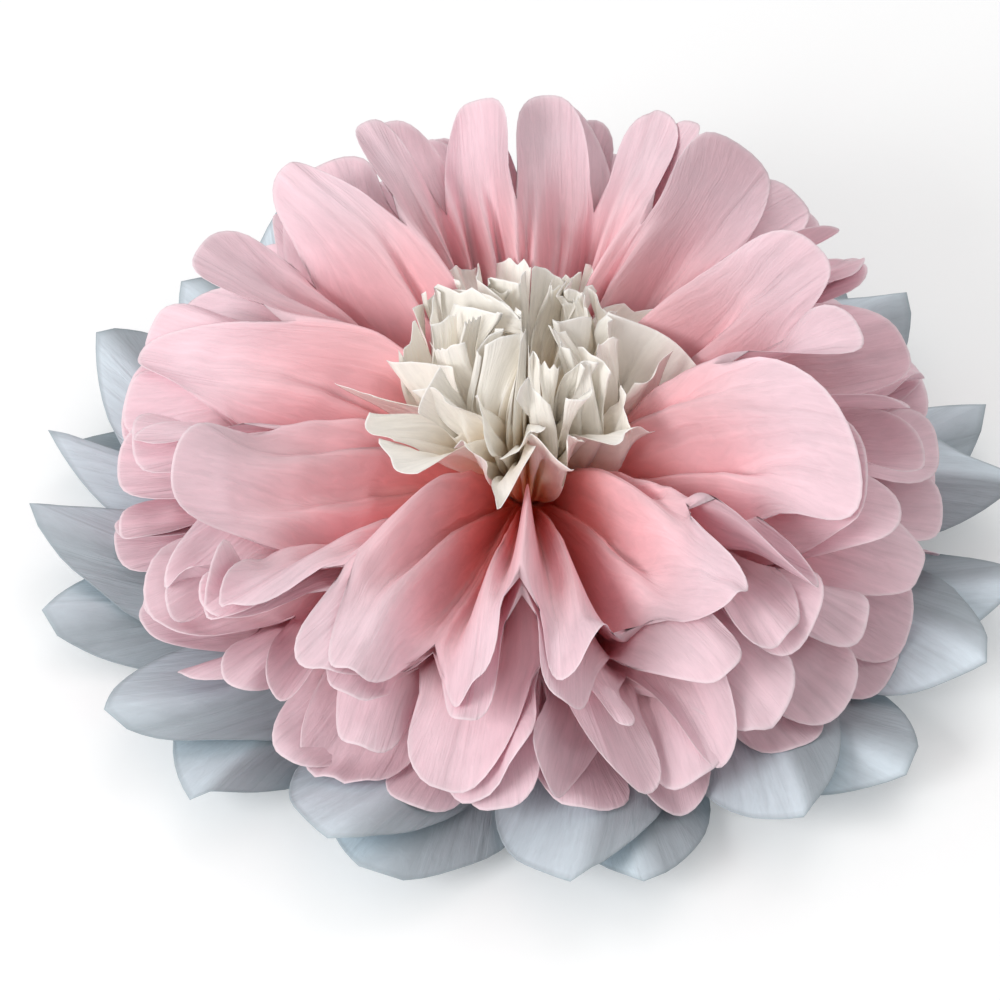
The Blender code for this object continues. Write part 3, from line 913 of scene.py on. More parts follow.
@dataclass
class TissueSheet:
    """One sheet of thin tissue that stands for the solid of the same fold plan.

    Spans of the reach are shares of the half length of the sheet.

    Attributes:
        node: Name of the solid that it replaces.
        plan: Where its folds go.
        finish: Its paper.
        steps: Columns of small faces across a panel.
        rows: Rows of small faces from the knot to the notches.
        end_rows: Rows of small faces along the shaped end.
        cup: Height of the middle of a panel: mean and spread.
        curl: Upward curl of the tips in degrees: mean and spread.
        roll: Spread of the height by which a panel rolls to one side.
        pinch: Least and most that a panel is drawn in, as a share.
        swing: Spread of the turn of the tips, in degrees.
        heave: Height of the slow waves, in degrees.
        groove: Extra height of the folds.
        crumple_height: Height of the fine creases and dents.
        gather: Height of the shared pleats beside the knot, in degrees.
        fade: Reaches from which and at which those pleats fade away.
        crease: Spread of the height of a crease along the middle of a panel.
        pulled: Panels that are pulled up or down by hand, in degrees.
        rim_width: Width of the band along the cut edge that takes the rim colour: a painted highlight on the
            petals and strips, a darker line on the leaves.
        thickness: Thickness of the paper.
        gap: Space between the sheet and the one below.
        slit: Half the width of the slits between strips, in panels.
        opening: Span in which the panels open.
        tips: Span in which their tips bend.
        narrowing: Span in which they are drawn in.
        notch_ease: Lengths before and after a notch over which the folds come free.
    """

    node: str
    plan: FoldPlan
    finish: TissueFinish
    steps: int
    rows: int
    end_rows: int
    cup: Span
    curl: Span
    roll: float
    pinch: Span
    swing: float
    heave: float
    groove: float
    crumple_height: float
    gather: float = 3.5
    fade: Span = (0.045, 0.095)
    crease: float = 0.0
    pulled: dict[tuple[End, int], float] = field(default_factory=dict)
    rim_width: float = 0.0013
    thickness: float = 0.00012
    gap: float = 0.0005
    slit: float = 0.035
    opening: Span = (0.30, 0.95)
    tips: Span = (0.55, 1.02)
    narrowing: Span = (0.50, 0.90)
    notch_ease: Span = (0.002, 0.012)

    def __post_init__(self) -> None:
        """Draw the hand work and the dents of the paper."""
        hand = np.random.default_rng(SEED * 100 + self.plan.level)
        count = (2, self.plan.panels)
        self.panel_hand = PanelHand(
            cup=hand.normal(self.cup[0], self.cup[1], count),
            roll=hand.normal(0.0, self.roll, count),
            curl=np.radians(hand.normal(self.curl[0], self.curl[1], count)),
            pinch=self.near_side() * mix(*self.pinch, hand.uniform(0.0, 1.0, count) ** 3),
            swing=np.radians(hand.normal(0.0, self.swing, count)),
            crease=hand.normal(0.0, 1.0, count) * self.crease,
        )
        self.ragged = hand.uniform(0.0, 1.0, (2, self.plan.panels, 6))
        seed = SEED * 1000 + self.plan.level * 10
        fields = [Crumple(seed + number, cell, self.size) for number, cell in enumerate(CRUMPLE_CELLS)]
        self.pleats, self.wide_pleats, self.dents, self.heaves = fields
        self.net = Heights(self.plan.half_length)

    @property
    def cut(self) -> Cut:
        """How its panels end."""
        return self.plan.flat.ends

    @property
    def size(self) -> Span:
        """Width and length of the flat sheet."""
        return self.plan.flat.width, 2 * self.plan.half_length

    @property
    def row_count(self) -> int:
        """Number of rows of points from one end to the other."""
        return 2 * (self.rows + self.end_rows + 1) + WAIST_ROWS

    def near_side(self) -> np.ndarray:
        """How much each panel is drawn in: the petals on the near side most of all."""
        middles = (np.arange(self.plan.panels) + 0.5) / self.plan.panels
        near = np.sin(middles * math.pi) ** 2
        return np.array([np.full_like(near, 0.35), 0.35 + 0.65 * near])

    def shares_across(self) -> np.ndarray:
        """Places of the columns across the flat sheet, in panels from its left side."""
        within = np.arange(self.steps) / self.steps
        if self.cut is Cut.ROUND:
            within = mix(within, (1 - np.cos(math.pi * within)) / 2, 0.75)
        if self.cut is Cut.RAGGED:
            strip = np.arange(self.steps - 1) / (self.steps - 2)
            within = np.concatenate([[0.0], self.slit + (1 - 2 * self.slit) * strip])
        across = (np.arange(self.plan.panels)[:, None] + within).ravel()
        return np.append(across, float(self.plan.panels))

    def panels_of(self, across: np.ndarray) -> tuple[np.ndarray, np.ndarray]:
        """Panel of each column, and the column's place within its panel."""
        panel = np.minimum(across.astype(int), self.plan.panels - 1)
        return panel, across - panel

    def outline(self, across: np.ndarray, end: End) -> np.ndarray:
        """Length of the shaped end at places across the sheet, from 0 at a notch to 1."""
        share = across % 1.0
        if self.cut is Cut.ROUND:
            return (1 - np.abs(2 * share - 1) ** 2.8) ** 0.5
        if self.cut is Cut.POINTED:
            return np.sqrt(1 - np.abs(across % 2.0 - 1))
        nicks = self.ragged[end.row, self.panels_of(across)[0]]
        slope, side, depth, spacing, shift = np.moveaxis(nicks, -1, 0)[:5]
        slant = 1 - 0.34 * slope * np.abs(share - side.round())
        teeth = 0.13 * depth * np.abs((share * (1.5 + 2 * spacing) + shift) % 1.0 - 0.5) * 2
        return np.clip(slant - teeth, 0.45, 1.0)

    def place(self, across: np.ndarray, reach: np.ndarray, end: End) -> tuple[np.ndarray, np.ndarray]:
        """Bearing and lift of places of the sheet, before it is raised off the one below.

        Args:
            across: Places across the sheet, in panels; one value for each column.
            reach: Reaches, row by row, in the same columns.
            end: The end of the sheet.

        Returns:
            Bearings and lifts in the shape of reach.
        """
        plan = self.plan
        panel, share = self.panels_of(across)
        knots = np.array(plan.reaches)
        sides = []
        for fold in (panel, panel + 1):
            column = fold if end is End.FAR else 2 * plan.panels + 1 - fold
            tables = (np.array(table)[:, column] for table in (plan.bearings, plan.lifts))
            sides.append([follow(table, knots, reach) for table in tables])
        bearing, lift = (left * (1 - share) + right * share for left, right in zip(*sides))
        return self.shape_panels(across, reach, end, bearing, lift)

    def shape_panels(
        self, across: np.ndarray, reach: np.ndarray, end: End, bearing: np.ndarray, lift: np.ndarray
    ) -> tuple[np.ndarray, np.ndarray]:
        """Cup, roll, curl, pinch and crumple the panels.

        Args:
            across: Places across the sheet, in panels.
            reach: Reaches, row by row.
            end: The end of the sheet.
            bearing: Bearings of the plan.
            lift: Lifts of the plan.

        Returns:
            The shaped bearings and lifts.
        """
        plan, hand, row = self.plan, self.panel_hand, end.row
        panel, share = self.panels_of(across)
        before, after = plan.notch - self.notch_ease[0], plan.notch + self.notch_ease[1]
        opened, tip = self.within(reach, self.opening), self.within(reach, self.tips)
        free = eased(reach, before, plan.half_length)
        side = 2 * share - 1
        ridge, arch = 1 - np.abs(side), np.cos(side * math.pi / 2)
        bell = 1 - (1 - arch) * (1 - free)
        rise = hand.cup[row, panel] * arch * opened
        rise = rise + hand.roll[row, panel] * side * (free + 1.5 * ridge * tip)
        rise = rise + hand.crease[row, panel] * ridge * opened
        rise = rise + self.grooves(panel, share, reach)
        curl = hand.curl[row]
        folds = np.concatenate([[curl[0]], (curl[1:] + curl[:-1]) / 2, [curl[-1]]])
        fold_curl = folds[panel] * (1 - share) + folds[panel + 1] * share
        lift = lift + (fold_curl * (1 - bell) + curl[panel] * bell) * tip**1.3
        for (pulled_end, which), pull in self.pulled.items():
            if pulled_end is end:
                nearness = np.clip(1.3 - np.abs(across - which - 0.5), 0.0, 1.0)
                lift = lift + math.radians(pull) * eased(nearness, 0.0, 1.0) * opened
        middle = self.middle_bearing(bearing, panel)
        apart = 1 - (1 - arch) * (1 - eased(reach, before, after))
        drawn_in = tip if self.cut is Cut.RAGGED else self.within(reach, self.narrowing) * apart
        narrowed = hand.pinch[row, panel] * drawn_in
        width = np.abs(bearing - middle) * reach
        rise = rise + narrowed * np.maximum(0.010 - width * 0.6, 0.0)
        bearing = middle + (bearing - middle) * (1 - 0.75 * narrowed)
        bearing = bearing + hand.swing[row, panel] * tip * bell
        x, y = self.flat_places(across, reach, end)
        rise = rise + self.crumple(x, y, reach)
        lift = lift + math.radians(self.heave) * self.heaves.at(x, y) * opened
        return bearing, lift + rise / reach

    def within(self, reach: np.ndarray, span: Span) -> np.ndarray:
        """Rise smoothly from 0 to 1 over a span of the reach."""
        half = self.plan.half_length
        return eased(reach, span[0] * half, span[1] * half)

    def flat_places(self, across: np.ndarray, reach: np.ndarray, end: End) -> tuple[np.ndarray, np.ndarray]:
        """Places across and along the flat sheet, from its middle."""
        x = (across - self.plan.panels / 2) * self.plan.panel_width
        return np.broadcast_to(x, reach.shape), end.value * reach

    def grooves(self, panel: np.ndarray, share: np.ndarray, reach: np.ndarray) -> np.ndarray:
        """Extra height of the folds: deep grooves between petals, or a ridge along each leaf."""
        hill = (panel % 2) * (1 - share) + (1 - panel % 2) * share
        if self.cut is Cut.POINTED:
            notch = self.plan.notch
            rising = 0.6 * eased(reach, 0.04, notch) + 0.4 * eased(reach, notch, self.plan.half_length)
            return self.groove * hill * rising
        fading = 1 - 0.8 * self.within(reach, (0.45, 0.90))
        return self.groove * (2 * hill - 1) * eased(reach, 0.010, 0.034) * fading

    def middle_bearing(self, bearing: np.ndarray, panel: np.ndarray) -> np.ndarray:
        """Bearing of the middle line of each column's panel, row by row."""
        starts = np.searchsorted(panel, np.arange(self.plan.panels))
        stops = np.minimum(starts + self.steps, bearing.shape[1] - 1)
        middles = (bearing[:, starts] + bearing[:, stops]) / 2
        return middles[:, panel]

    def crumple(self, across: np.ndarray, along: np.ndarray, reach: np.ndarray) -> np.ndarray:
        """Height of the creases and dents of handled tissue."""
        near = 1 - eased(reach, 0.02, 0.85 * self.plan.half_length)
        sharp = 1 - 2 * np.abs(self.pleats.at(across, along))
        wide = self.wide_pleats.at(across, along)
        dent = 1 - 2 * np.abs(self.dents.at(across, along))
        hold = eased(reach, 0.010, 0.030)
        height = 0.45 * sharp * (0.35 + 0.65 * near) + 0.8 * wide + 0.35 * dent
        return self.crumple_height * height * hold

    def soften(self, values: np.ndarray, rounds: int) -> np.ndarray:
        """Round off the creases across the columns of an end."""
        for _ in range(rounds):
            padded = np.hstack([values[:, :1], values, values[:, -1:]])
            values = (padded[:, :-2] + 2 * values + padded[:, 2:]) / 4
        return values

    def shaped(self, reach: np.ndarray, end: End) -> tuple[np.ndarray, np.ndarray]:
        """Bearing and lift of every column at reaches given row by row, raised as needed."""
        bearing, lift = self.place(self.shares_across(), reach, end)
        lift = self.soften(lift, 0 if self.cut is Cut.POINTED else 2)
        lift = lift + self.net.sample(self.net.raised, reach, bearing)
        lift = lift + gathers(reach, bearing, self.gather, self.fade)
        return bearing, np.minimum(lift, STEEPEST)

    def rings(self) -> np.ndarray:
        """Lifts of the sheet on its net."""
        reach = np.broadcast_to(self.net.reaches[:, None], (len(self.net.reaches), len(self.shares_across())))
        far, near = (self.shaped(reach, end) for end in (End.FAR, End.NEAR))
        bearing, lift = (np.hstack([first, second[:, ::-1]]) for first, second in zip(far, near))
        rows = []
        for ring_bearing, ring_lift in zip(bearing % TURN, lift):
            order = np.argsort(ring_bearing, kind="stable")
            rows.append(np.interp(self.net.bearings, ring_bearing[order], ring_lift[order], period=TURN))
        return np.array(rows)

    def rest_on(self, lower: "TissueSheet") -> None:
        """Raise the sheet softly wherever it would touch the one below."""
        below = lower.rings()
        reach = self.net.reaches[:, None] + 0 * self.net.bearings
        bearing = self.net.bearings + 0 * reach
        floor = lower.net.sample(below, reach, bearing)
        gap = self.gap / reach * (0.5 + 0.5 * eased(reach, 0.01, 0.03))
        covered = self.net.reaches <= lower.plan.half_length
        for rings, steps in RESTING_STEPS:
            short = np.where(covered[:, None], floor + gap - self.rings(), 0.0)
            if short.max() <= 0.0:
                break
            self.net.raised += spread(np.maximum(short, 0.0), rings, steps)

    def keep_off_floor(self) -> None:
        """Raise the sheet wherever it would reach under the floor."""
        floor = np.arcsin((self.thickness - KNOT.height) / self.net.reaches[:, None].clip(KNOT.height))
        for rings, steps in FLOOR_STEPS:
            short = np.maximum(floor - self.rings(), 0.0)
            self.net.raised += spread(short, rings, steps)

    def build(self, carrier: str) -> bpy.types.Object:
        """Cut, fold and finish the sheet.

        Args:
            carrier: Name of the solid that it rests on; not used.

        Returns:
            The finished piece, attached to the root body.
        """
        piece = self.lay_flat()
        self.fold(piece)
        self.thicken(piece)
        piece.data.materials.clear()
        piece.data.materials.append(material_of(self.finish))
        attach(piece, "root")
        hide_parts(self.node)
        box = [tuple(round(value, 4) for value in corner) for corner in corners_of(piece)]
        LOG.info("%s: %d faces, box %s", piece.name, len(piece.data.polygons), box)
        return piece

    def lay_flat(self) -> bpy.types.Object:
        """Lay the flat sheet out as a fine grid at the size of its cut."""
        deselect_all()
        columns = self.steps * self.plan.panels
        bpy.ops.mesh.primitive_grid_add(x_subdivisions=columns, y_subdivisions=self.row_count - 1, size=1.0)
        piece = bpy.context.active_object
        piece.name = piece.data.name = f"{self.node}_tissue"
        bpy.ops.transform.resize(value=(*self.size, 1.0))
        bpy.ops.object.transform_apply(location=True, rotation=True, scale=True)
        return piece

    def reach_rows(self, end: End) -> np.ndarray:
        """Reaches of the rows of an end, from the knot to its cut edge, in every column."""
        across = self.shares_across()
        inner = np.linspace(KNOT.spring_reach, self.plan.notch, self.rows + 1)
        steps = (np.arange(self.end_rows) + 1) / self.end_rows
        steps = 1 - (1 - steps) ** 1.25
        outer = self.plan.notch + steps[:, None] * self.plan.flat.end_length * self.outline(across, end)
        return np.vstack([np.broadcast_to(inner[:, None], (len(inner), len(across))), outer])

    def fold(self, piece: bpy.types.Object) -> None:
        """Move every point of the flat grid to its place in the flower."""
        mesh = piece.data
        grid = np.empty(len(mesh.vertices) * 3)
        mesh.vertices.foreach_get("co", grid)
        grid = grid.reshape(-1, 3)
        column = np.rint((grid[:, 0] / self.size[0] + 0.5) * self.steps * self.plan.panels).astype(int)
        row = np.rint((grid[:, 1] / self.size[1] + 0.5) * (self.row_count - 1)).astype(int)
        parts = (self.end_points(End.NEAR), self.waist_points(), self.end_points(End.FAR))
        place, flat, share, rim = (np.vstack(rows)[row, column] for rows in zip(*parts))
        mesh.vertices.foreach_set("co", place.ravel())
        # Painted shade: every other panel, from its valley fold up to the hill fold beside it, is marked to
        # be darkened in the finish as the side turned away from the left lamp.
        leaf_place = self.shares_across()[column] % 2.0
        half = np.where(leaf_place < 1.0, eased(np.abs(leaf_place - 1.0), 0.0, 0.05), 0.0)
        self.write_layers(mesh, flat, {"reach_share": share, "edge_highlight_and_line_share": rim, "painted_shade_half": half})
        mesh.update()

    def end_points(self, end: End) -> tuple[np.ndarray, ...]:
        """Points of an end.

        Args:
            end: The end of the sheet.

        Returns:
            Their places, their flat places, their share of the reach and their nearness to
            the cut edge, row by row as the rows of the grid.
        """
        across = self.shares_across()
        reach = self.reach_rows(end)
        bearing, lift = self.shaped(reach, end)
        level = reach * np.cos(lift)
        height = np.maximum(KNOT.height + reach * np.sin(lift), self.thickness)
        place = np.stack([level * np.cos(bearing), level * np.sin(bearing), height], 2)
        flat = np.stack(self.flat_places(across, reach, end), 2)
        layers = (place, flat, reach / self.plan.half_length, self.rim_of(reach, end))
        return tuple(layer[:: end.value] for layer in layers)

    def rim_of(self, reach: np.ndarray, end: End) -> np.ndarray:
        """How near each place is to the cut edge, from 0 inside to 1 on it."""
        across = self.shares_across()
        plan = self.plan
        fine = np.linspace(0.0, plan.panels, plan.panels * OUTLINE_STEPS + 1)[:-1] + WELD
        edge_x = fine * plan.panel_width
        edge_y = plan.notch + plan.flat.end_length * self.outline(fine, end)
        rim = np.zeros(reach.shape)
        for panel in range(plan.panels):
            start = panel * OUTLINE_STEPS
            near = slice(max(start - OUTLINE_MARGIN, 0), start + OUTLINE_STEPS + OUTLINE_MARGIN)
            columns = np.flatnonzero((across >= panel) & (across <= panel + 1))
            x = (across[columns] * plan.panel_width)[None, :, None]
            y = reach[:, columns, None]
            away = np.sqrt(((edge_x[near] - x) ** 2 + (edge_y[near] - y) ** 2).min(axis=2))
            rim[:, columns] = 1 - np.clip(away / self.rim_width, 0.0, 1.0)
        return rim * eased(reach, plan.notch + self.notch_ease[0], plan.notch + self.notch_ease[1])

    def waist_points(self) -> tuple[np.ndarray, ...]:
        """Points of the rows that cross the knot, gathered by the wire, in the same four layers."""
        across = self.shares_across()
        width = KNOT.width / 2 * KNOT.waist_share(self.plan.level)
        depth = KNOT.depth / 2 * KNOT.waist_share(self.plan.level)
        bearing = mix(KNOT.waist_edge, math.pi - KNOT.waist_edge, across / self.plan.panels)
        height = KNOT.height + KNOT.stack_height(self.plan.level) + KNOT.ruffle * np.sin(across * math.pi * 3)
        rows = [[width * np.cos(bearing), side * depth * np.sin(bearing), height] for side in (-1, 1)]
        still = np.zeros((WAIST_ROWS, len(across)))
        flat = np.stack(self.flat_places(across, still, End.FAR), 2)
        return np.moveaxis(np.array(rows), 1, 2), flat, still, still

    def write_layers(self, mesh: bpy.types.Mesh, flat: np.ndarray, layers: dict[str, np.ndarray]) -> None:
        """Keep the flat cut as the sheet's map, and the layers for its finish.

        Args:
            mesh: Mesh of the sheet.
            flat: Flat place of each point.
            layers: A value of each point, by the name of the layer.
        """
        while mesh.uv_layers:
            mesh.uv_layers.remove(mesh.uv_layers[0])
        corners = np.empty(len(mesh.loops), dtype=np.int32)
        mesh.loops.foreach_get("vertex_index", corners)
        layer = mesh.uv_layers.new(name="flat_cut")
        layer.uv.foreach_set("vector", (flat[corners] + 0.5).ravel())
        for name, values in layers.items():
            attribute = mesh.attributes.new(name, "FLOAT", "POINT")
            attribute.data.foreach_set("value", values)

    def thicken(self, piece: bpy.types.Object) -> None:
        """Open the slits, join what meets at the notches and give the paper its thickness."""
        deselect_all()
        piece.select_set(True)
        bpy.context.view_layer.objects.active = piece
        if self.cut is Cut.RAGGED:
            self.open_slits(piece)
        bpy.ops.object.mode_set(mode="EDIT")
        bpy.ops.mesh.select_all(action="SELECT")
        bpy.ops.mesh.remove_doubles(threshold=WELD)
        bpy.ops.mesh.dissolve_degenerate(threshold=WELD)
        bpy.ops.object.mode_set(mode="OBJECT")
        bpy.ops.object.shade_smooth()
        paper = piece.modifiers.new("Paper", "SOLIDIFY")
        paper.thickness = self.thickness
        paper.offset = 0.0
        bpy.ops.object.modifier_apply(modifier=paper.name)

    def open_slits(self, piece: bpy.types.Object) -> None:
        """Cut the thin slits between the strips, from their notches to the ends."""
        mesh = piece.data
        flat = np.empty(len(mesh.loops) * 2)
        mesh.uv_layers["flat_cut"].uv.foreach_get("vector", flat)
        flat = flat.reshape(-1, 2) - 0.5
        bpy.ops.object.mode_set(mode="EDIT")
        bpy.ops.mesh.select_mode(type="FACE")
        bpy.ops.mesh.select_all(action="DESELECT")
        bpy.ops.object.mode_set(mode="OBJECT")
        for face in mesh.polygons:
            middle = flat[list(face.loop_indices)].mean(axis=0)
            across = middle[0] / self.plan.panel_width + self.plan.panels / 2
            beside_fold = abs(across - round(across)) < self.slit
            inside = 0.5 < across < self.plan.panels - 0.5
            face.select = bool(beside_fold and inside and abs(middle[1]) > self.plan.notch)
        bpy.ops.object.mode_set(mode="EDIT")
        bpy.ops.mesh.delete(type="FACE")
        bpy.ops.object.mode_set(mode="OBJECT")


def corners_of(piece: bpy.types.Object) -> list[tuple[float, ...]]:
    """Lowest and highest corner of a piece."""
    points = np.empty(len(piece.data.vertices) * 3)
    piece.data.vertices.foreach_get("co", points)
    points = points.reshape(-1, 3)
    return [tuple(points.min(axis=0)), tuple(points.max(axis=0))]


@dataclass(frozen=True)
class WireFinish:
    """Look of the dull steel wire of the tie.

    Attributes:
        slot: Material slot of the record.
        colour: Colour of the bare wire.
        dulled: Colour of its dull streaks.
        roughness: Roughness from the brightest streaks to the dullest.
        streaks: Number of streaks in a metre.
    """

    slot: str = "wire"
    colour: Colour = (0.42, 0.43, 0.43)
    dulled: Colour = (0.315, 0.3225, 0.3225)
    roughness: Span = (0.30, 0.48)
    streaks: float = 900.0

    def material(self) -> bpy.types.Material:
        """Make the material: drawn steel with fine streaks and a few dull spots."""
        material = bpy.data.materials.new(f"{self.slot}_look")
        material.use_nodes = True
        tree = NodeBuilder(material.node_tree)
        place = tree.add("ShaderNodeTexCoord").outputs["Object"]
        drawn = {"Vector": place, "Scale": self.streaks, "Detail": 3.0}
        streaks = tree.add("ShaderNodeTexNoise", drawn).outputs["Fac"]
        colour = tree.ramp(streaks, ((0.0, self.dulled), (1.0, self.colour)), "LINEAR")
        dull = tree.span(streaks, (0.0, 1.0), self.roughness)
        steel = {"Base Color": colour, "Metallic": 1.0, "Roughness": dull}
        tree.finish(tree.add("ShaderNodeBsdfPrincipled", steel).outputs["BSDF"])
        return material


def material_of(finish: TissueFinish | WireFinish) -> bpy.types.Material:
    """The material of a finish, made once and used by all its pieces."""
    return bpy.data.materials.get(f"{finish.slot}_look") or finish.material()


PULLED_PETALS = {
    4: {(End.NEAR, 0): 5.0, (End.NEAR, 2): -4.0},
    5: {(End.NEAR, 0): 8.0, (End.NEAR, 1): 6.0, (End.FAR, 0): 7.0, (End.NEAR, 3): -5.0, (End.NEAR, 7): -5.0},
}


@dataclass
class PaperFlower:
    """The whole flower: leaf sheets, petal sheets and centre sheets, from the lowest up.

    Attributes:
        leaf: A leaf sheet before it is folded.
        petal: A petal sheet.
        centre: A centre sheet.
        leaf_twists: Turn of each leaf sheet, in degrees.
        petal_twists: Turn of each petal sheet.
        centre_twists: Turn of each centre sheet.
    """

    leaf: FlatSheet = FlatSheet(0.350, 0.300, 0.052, 12, Cut.POINTED)
    petal: FlatSheet = FlatSheet(0.350, 0.250, 0.034, 10, Cut.ROUND)
    centre: FlatSheet = FlatSheet(0.180, 0.150, 0.026, 10, Cut.RAGGED)
    leaf_twists: tuple[float, ...] = (2.6, -10.0)
    petal_twists: tuple[float, ...] = (-4.0, 0.5, 4.6, 1.0, -3.5, 1.0)
    centre_twists: tuple[float, ...] = (-2.5, 2.5, -2.5)

    def __post_init__(self) -> None:
        """Plan all sheets, each clear of the one below."""
        leaves = [LeafPlan(level, self.leaf, twist) for level, twist in enumerate(self.leaf_twists)]
        petals = [self.petal_plan(number, twist) for number, twist in enumerate(self.petal_twists)]
        centres = [self.centre_plan(number, twist) for number, twist in enumerate(self.centre_twists)]
        plans = [*leaves, *petals, *centres]
        for lower, upper in zip(plans, plans[1:]):
            upper.rest_on(lower)
        for plan in petals:
            plan.ease_panels()
        self.sheets = [self.leaf_sheet(number, plan) for number, plan in enumerate(leaves)]
        self.sheets += [self.petal_sheet(number, plan) for number, plan in enumerate(petals)]
        self.sheets += [self.centre_sheet(number, plan) for number, plan in enumerate(centres)]

    def petal_plan(self, number: int, twist: float) -> PetalPlan:
        """Plan of a petal sheet: steeper and leaning further towards the middle."""
        inner = number / (len(self.petal_twists) - 1)
        level = len(self.leaf_twists) + number
        steepness = {"lift": mix(3.0, 36.0, inner), "lean": mix(3.0, 12.0, inner)}
        return PetalPlan(level, self.petal, twist, tallest_pleat=mix(24.0, 18.0, inner), **steepness)

    def centre_plan(self, number: int, twist: float) -> CentrePlan:
        """Plan of a centre sheet: steeper towards the middle."""
        inner = number / (len(self.centre_twists) - 1)
        level = len(self.leaf_twists) + len(self.petal_twists) + number
        lift, pleat = mix(54.0, 69.0, inner), mix(11.0, 8.0, inner)
        return CentrePlan(level, self.centre, twist, lift=lift, tallest_pleat=pleat)

    def leaf_sheet(self, number: int, plan: LeafPlan) -> TissueSheet:
        """A leaf sheet, nearly flat, with a crease along every leaf."""
        return TissueSheet(
            f"leaf_sheet_{number + 1}",
            plan,
            BLUE_TISSUE,
            steps=10,
            rows=46,
            end_rows=22,
            cup=(0.0, 0.0006),
            curl=(0.8, 1.0),
            roll=0.0008,
            pinch=(0.15, 0.30),
            swing=0.4,
            heave=0.5,
            groove=0.0145,
            crumple_height=0.0004,
        )

    def petal_sheet(self, number: int, plan: PetalPlan) -> TissueSheet:
        """A petal sheet: scooped round petals, looser towards the middle of the flower."""
        inner = number / (len(self.petal_twists) - 1)
        return TissueSheet(
            f"petal_sheet_{number + 1}",
            plan,
            PINK_TISSUE,
            steps=20,
            rows=46,
            end_rows=18,
            cup=(mix(-0.0025, -0.0045, inner), 0.0040),
            curl=(mix(-1.0, -3.0, inner), mix(3.5, 5.5, inner)),
            roll=0.0055,
            pinch=(mix(0.12, 0.55, inner), 0.95),
            swing=mix(2.0, 3.5, inner),
            heave=mix(2.0, 3.0, inner),
            groove=mix(0.0035, 0.0065, inner),
            crumple_height=0.0018,
            gather=mix(3.5, 7.5, inner),
            fade=(mix(0.045, 0.052, inner), mix(0.095, 0.112, inner)),
            crease=mix(0.0020, 0.0040, inner),
            pulled=PULLED_PETALS.get(number, {}),
        )

    def centre_sheet(self, number: int, plan: CentrePlan) -> TissueSheet:
        """A short centre sheet: ragged strips that bend every way."""
        return TissueSheet(
            f"centre_sheet_{number + 1}",
            plan,
            IVORY_TISSUE,
            steps=16,
            rows=26,
            end_rows=18,
            cup=(0.0, 0.0020),
            curl=(2.0, 6.0),
            roll=0.0030,
            pinch=(0.0, 0.6),
            swing=4.5,
            heave=4.0,
            groove=0.0022,
            crumple_height=0.0008,
            gather=5.5,
            fade=(0.034, 0.064),
            crease=0.0015,
        )

    def build(self) -> None:
        """Shape the sheets from the lowest to the highest, each on the one below."""
        for lower, upper in zip([None, *self.sheets], self.sheets):
            if upper.cut is Cut.POINTED:
                upper.keep_off_floor()
            if lower is not None:
                upper.rest_on(lower)
            upper.build("wire_tie" if lower is None else lower.node)


def finish_wire(frame: dict) -> None:
    """Give the tie its wire finish; its solid has the right shape already."""
    wire = frame["nodes"]["wire_tie"]
    for slot in wire.material_slots:
        slot.material = material_of(WireFinish())
    LOG.info("wire_tie: keeps its solid")


@dataclass(frozen=True)
class Lamp:
    """A soft square lamp that points at the flower.

    Attributes:
        name: Its name.
        place: Where it hangs.
        size: Length of its sides.
        power: Its power in watts.
        aim: Height of the point that it lights.
    """

    name: str
    place: Place
    size: float
    power: float
    aim: float = 0.05

    def build(self) -> None:
        """Hang the lamp."""
        lamp = bpy.data.lights.new(self.name, "AREA")
        lamp.size = self.size
        lamp.energy = self.power
        holder = bpy.data.objects.new(self.name, lamp)
        holder.location = self.place
        away = Vector((0.0, 0.0, self.aim)) - Vector(self.place)
        holder.rotation_euler = away.to_track_quat("-Z", "Y").to_euler()
        bpy.context.scene.collection.objects.link(holder)


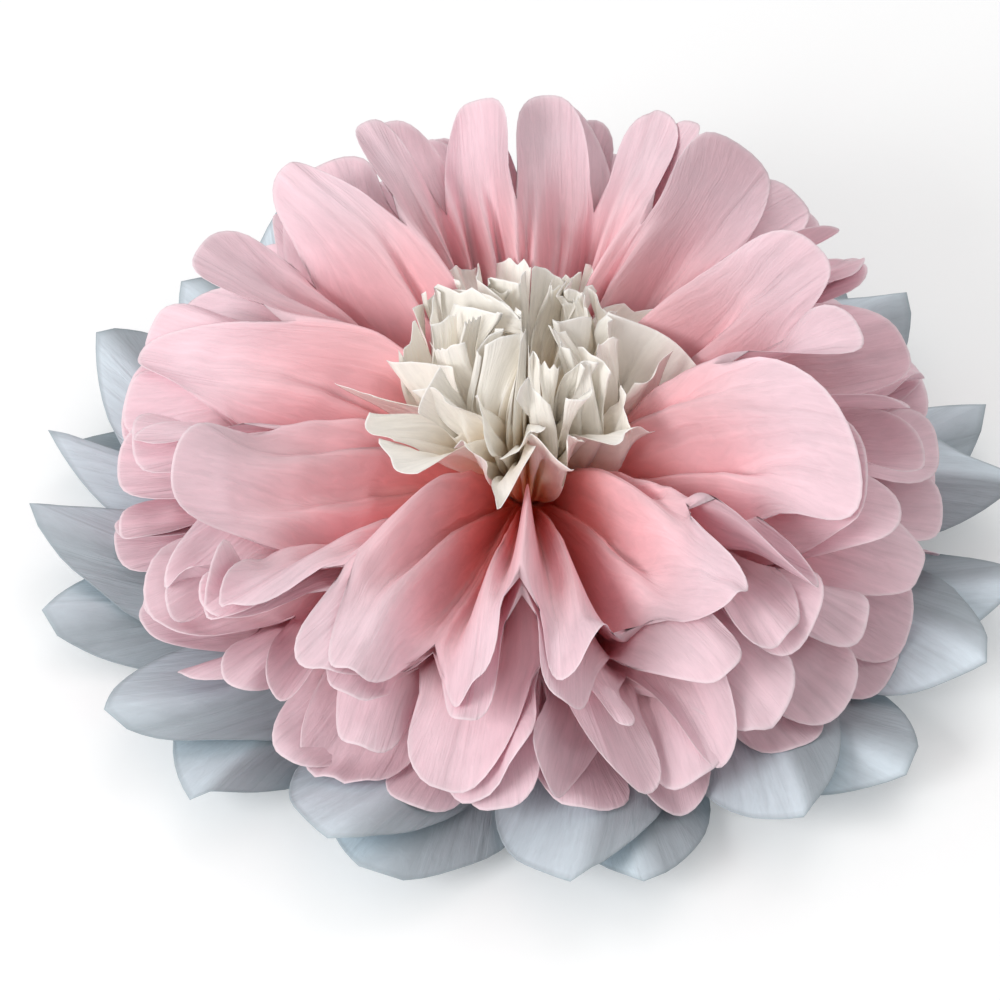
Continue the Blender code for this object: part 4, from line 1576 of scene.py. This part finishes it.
@dataclass(frozen=True)
class Studio:
    """Plain pale floor, soft light and the camera at the photograph's angle.

    Attributes:
        elevation: Height of the camera above the floor's level, in degrees.
        distance: Distance of the camera from the flower.
        aim: Point that the camera looks at.
        view_width: Width of the view at that point.
        sensor: Width of the camera's sensor, in millimetres.
        floor_shade: How pale the floor is.
        floor_glow: How much brighter it looks to the camera.
        sky: Strength of the even light all round.
        backdrop: Strength of what the camera and highlights see of it.
        bounces: How often light may bounce in all, and off dull surfaces.
        lamps: The lamps.
    """

    elevation: float = 45.0
    distance: float = 1.25
    aim: Place = (-0.0083, -0.0005, 0.021)
    view_width: float = 0.302
    sensor: float = 36.0
    floor_shade: float = 0.84
    floor_glow: float = 0.16
    sky: float = 0.74
    backdrop: float = 0.8
    bounces: tuple[int, int] = (14, 11)
    lamps: tuple[Lamp, ...] = (
        Lamp("left_lamp", (-1.10, -0.95, 0.90), 0.7, 14.2),
        Lamp("back_lamp", (0.25, 0.8, 1.5), 1.0, 3.0),
    )

    def build(self) -> None:
        """Set up the floor, the light and the camera."""
        self.lay_floor()
        self.light_sky()
        for lamp in self.lamps:
            lamp.build()
        self.set_camera()
        bpy.context.scene.view_settings.view_transform = "Standard"
        bpy.context.scene.cycles.max_bounces, bpy.context.scene.cycles.diffuse_bounces = self.bounces

    def lay_floor(self) -> None:
        """A large pale floor that shows white to the camera and keeps the flower's shadow."""
        deselect_all()
        bpy.ops.mesh.primitive_plane_add(size=12.0, location=(0.0, 0.0, -0.0002))
        floor = bpy.context.active_object
        floor.name = floor.data.name = "floor"
        bpy.ops.object.transform_apply(location=True, rotation=True, scale=True)
        material = bpy.data.materials.new("floor_look")
        material.use_nodes = True
        tree = NodeBuilder(material.node_tree)
        paint = {"Base Color": (*[self.floor_shade] * 3, 1.0), "Roughness": 0.9}
        plain = tree.add("ShaderNodeBsdfPrincipled", paint).outputs["BSDF"]
        glow = tree.add("ShaderNodeEmission", {"Strength": self.floor_glow}).outputs["Emission"]
        lit = tree.add("ShaderNodeAddShader", {0: plain, 1: glow}).outputs["Shader"]
        seen = tree.add("ShaderNodeLightPath").outputs["Is Camera Ray"]
        tree.finish(tree.add("ShaderNodeMixShader", {"Fac": seen, 1: plain, 2: lit}).outputs["Shader"])
        floor.data.materials.append(material)

    def light_sky(self) -> None:
        """Even light all round, which looks white to the camera and in highlights."""
        world = bpy.data.worlds.new("studio")
        bpy.context.scene.world = world
        world.use_nodes = True
        tree = NodeBuilder(world.node_tree)
        white = (1.0, 1.0, 1.0, 1.0)
        sky = tree.add("ShaderNodeBackground", {"Color": white, "Strength": self.sky}).outputs["Background"]
        seen = {"Color": white, "Strength": self.backdrop}
        backdrop = tree.add("ShaderNodeBackground", seen).outputs["Background"]
        rays = tree.add("ShaderNodeLightPath").outputs
        direct = {0: rays["Is Camera Ray"], 1: rays["Is Glossy Ray"]}
        either = tree.add("ShaderNodeMath", direct, operation="MAXIMUM").outputs["Value"]
        shown = tree.add("ShaderNodeMixShader", {"Fac": either, 1: sky, 2: backdrop}).outputs["Shader"]
        tree.finish(shown, "ShaderNodeOutputWorld")

    def set_camera(self) -> None:
        """Look down on the flower from the front."""
        camera = bpy.data.cameras.new("camera")
        camera.sensor_width = self.sensor
        camera.lens = self.sensor * self.distance / self.view_width
        camera.clip_end = 20.0
        holder = bpy.data.objects.new("camera", camera)
        up = math.radians(self.elevation)
        back = Vector((0.0, -math.cos(up), math.sin(up))) * self.distance
        holder.location = Vector(self.aim) + back
        holder.rotation_euler = (-back).to_track_quat("-Z", "Y").to_euler()
        bpy.context.scene.collection.objects.link(holder)
        bpy.context.scene.camera = holder


def main() -> None:
    """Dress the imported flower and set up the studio."""
    logging.basicConfig(level=logging.INFO, format="%(name)s: %(message)s")
    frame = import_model()
    flower = PaperFlower()
    flower.build()
    finish_wire(frame)
    Studio().build()


if __name__ == "__main__":
    main()
